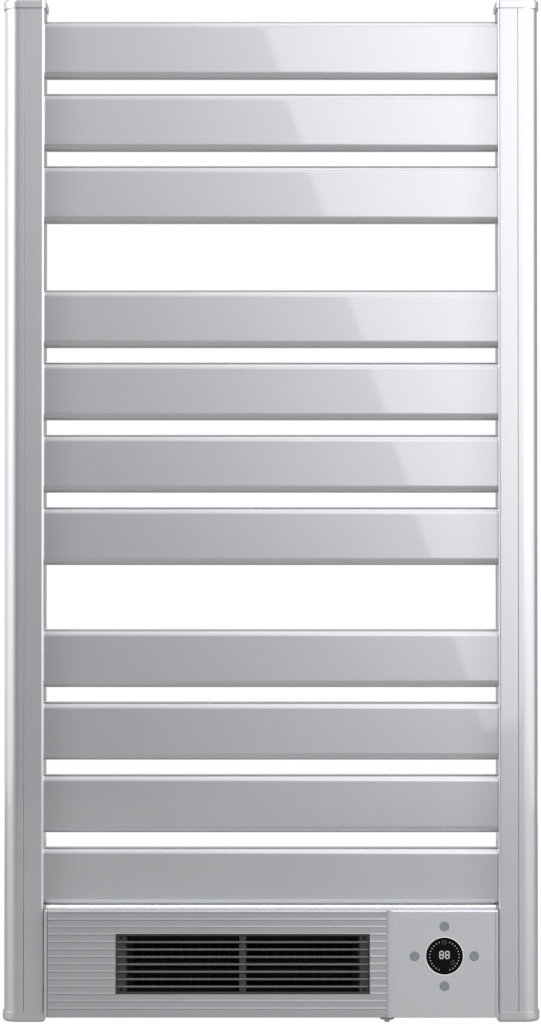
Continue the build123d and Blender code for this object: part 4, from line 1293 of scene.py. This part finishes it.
def makeIntake():
    # a frame with a flange inside the wall, upright ribs and rounded bars across them
    low, high = cadBox("intake_grille")
    rim, edge, flush = housing["intakeRim"], intake["edge"], high.y - intake["edge"]
    lip, neck = low.y + intake["flange"], rim + intake["wallGap"]
    walls = [(0, low.y), (0, lip), (neck, lip), (neck, flush), (neck + edge, high.y),
             (2 * rim - edge, high.y), (2 * rim, flush), (2 * rim, low.y)]
    rings = [(rectangle(low.x + inset, high.x - inset, low.z + inset, high.z - inset, intake["corner"]), y)
             for inset, y in walls]
    shape = bmesh.new()
    tube(shape, rings, "y")
    middle = (low + high) / 2
    step = (high.x - low.x - 2 * rim) / (intake["ribCount"] + 1)
    half, reach = intake["barHeight"] / 2, intake["ribReach"] * rim
    inside, outside = intake["ribSetbacks"]
    for k in range(intake["ribCount"]):
        x = middle.x + (k - (intake["ribCount"] - 1) / 2) * step
        block(shape, (x - half, low.y + inside, low.z + reach), (x + half, high.y - outside, high.z - reach))
    finishPiece(meshObject("intakeFrame", shape), "black_grille", ["intake_grille"], sharpAngle=28)
    pitch = (high.z - low.z - 4 * rim) / (intake["barCount"] + 1)
    rows = [(middle.x, middle.y, middle.z + (k - (intake["barCount"] - 1) / 2) * pitch)
            for k in range(intake["barCount"])]
    bars = grown("intakeBars", trees["bars"], rows, {
        "Length": (high.x - low.x - 2 * reach) * mm, "Height": intake["barHeight"] * mm,
        "Thickness": (high.y - low.y) * mm, "Edge Radius": intake["barEdge"] * mm,
        "Edge Steps": intake["barSteps"]}, "black_grille")
    finishPiece(bars, "black_grille", [], sharpAngle=28)


# Cable gland and room sensor, under the box

under = {
    "glandEdge": 1.0,
    "glandMouth": 0.8,
    "glandBore": 4.25,
    "collarEdge": 1.6,
    "seatEdge": 0.2,  # against the box
    "innerEdge": 0.3,
    "probeGap": 0.02,
    "probeTip": 1.6,
}


def makeUnderside():
    boxFoot = cadBox("heater_housing")[0].z
    seat, soft = under["seatEdge"], under["innerEdge"]
    low, high = cadBox("cable_gland")
    flange, bore, body = (high.x - low.x) / 2, under["glandBore"], housing["holes"]["cable_gland"]
    shape = bmesh.new()
    turned(shape, rounded([
        (bore, low.z, under["glandMouth"]), (flange, low.z, under["glandEdge"]), (flange, boxFoot, seat),
        (body, boxFoot, 0), (body, high.z, soft), (bore, high.z, soft)], steps=5),
        "z", middleXY("cable_gland"), steps=72, closed=True)
    finishPiece(meshObject("cableGland", shape), "gland_black", ["cable_gland"], sharpAngle=28)
    low, high = cadBox("sensor_collar")
    probeLow, probeHigh = cadBox("room_sensor")
    flange, bore = (high.x - low.x) / 2, (probeHigh.x - probeLow.x) / 2
    neck = housing["holes"]["sensor_collar"]
    shape = bmesh.new()
    turned(shape, rounded([
        (bore, low.z, soft), (flange, low.z, under["collarEdge"]), (flange, boxFoot, seat),
        (neck, boxFoot, 0), (neck, high.z, 0), (bore, high.z, 0)], steps=6),
        "z", middleXY("sensor_collar"), closed=True)
    finishPiece(meshObject("sensorCollar", shape), "collar_grey", ["sensor_collar"], sharpAngle=28)
    probe = bore - under["probeGap"]
    shape = bmesh.new()
    turned(shape, rounded([
        (pole, probeLow.z, 0), (probe, probeLow.z, under["probeTip"]), (probe, probeHigh.z, seat),
        (pole, probeHigh.z, 0)], steps=6), "z", middleXY("room_sensor"), steps=48)
    finishPiece(meshObject("sensorProbe", shape), "sensor_steel", ["room_sensor"], sharpAngle=28)


makeWallFixings()
makeIntake()
makeUnderside()
print("fixings, intake, gland and sensor made")
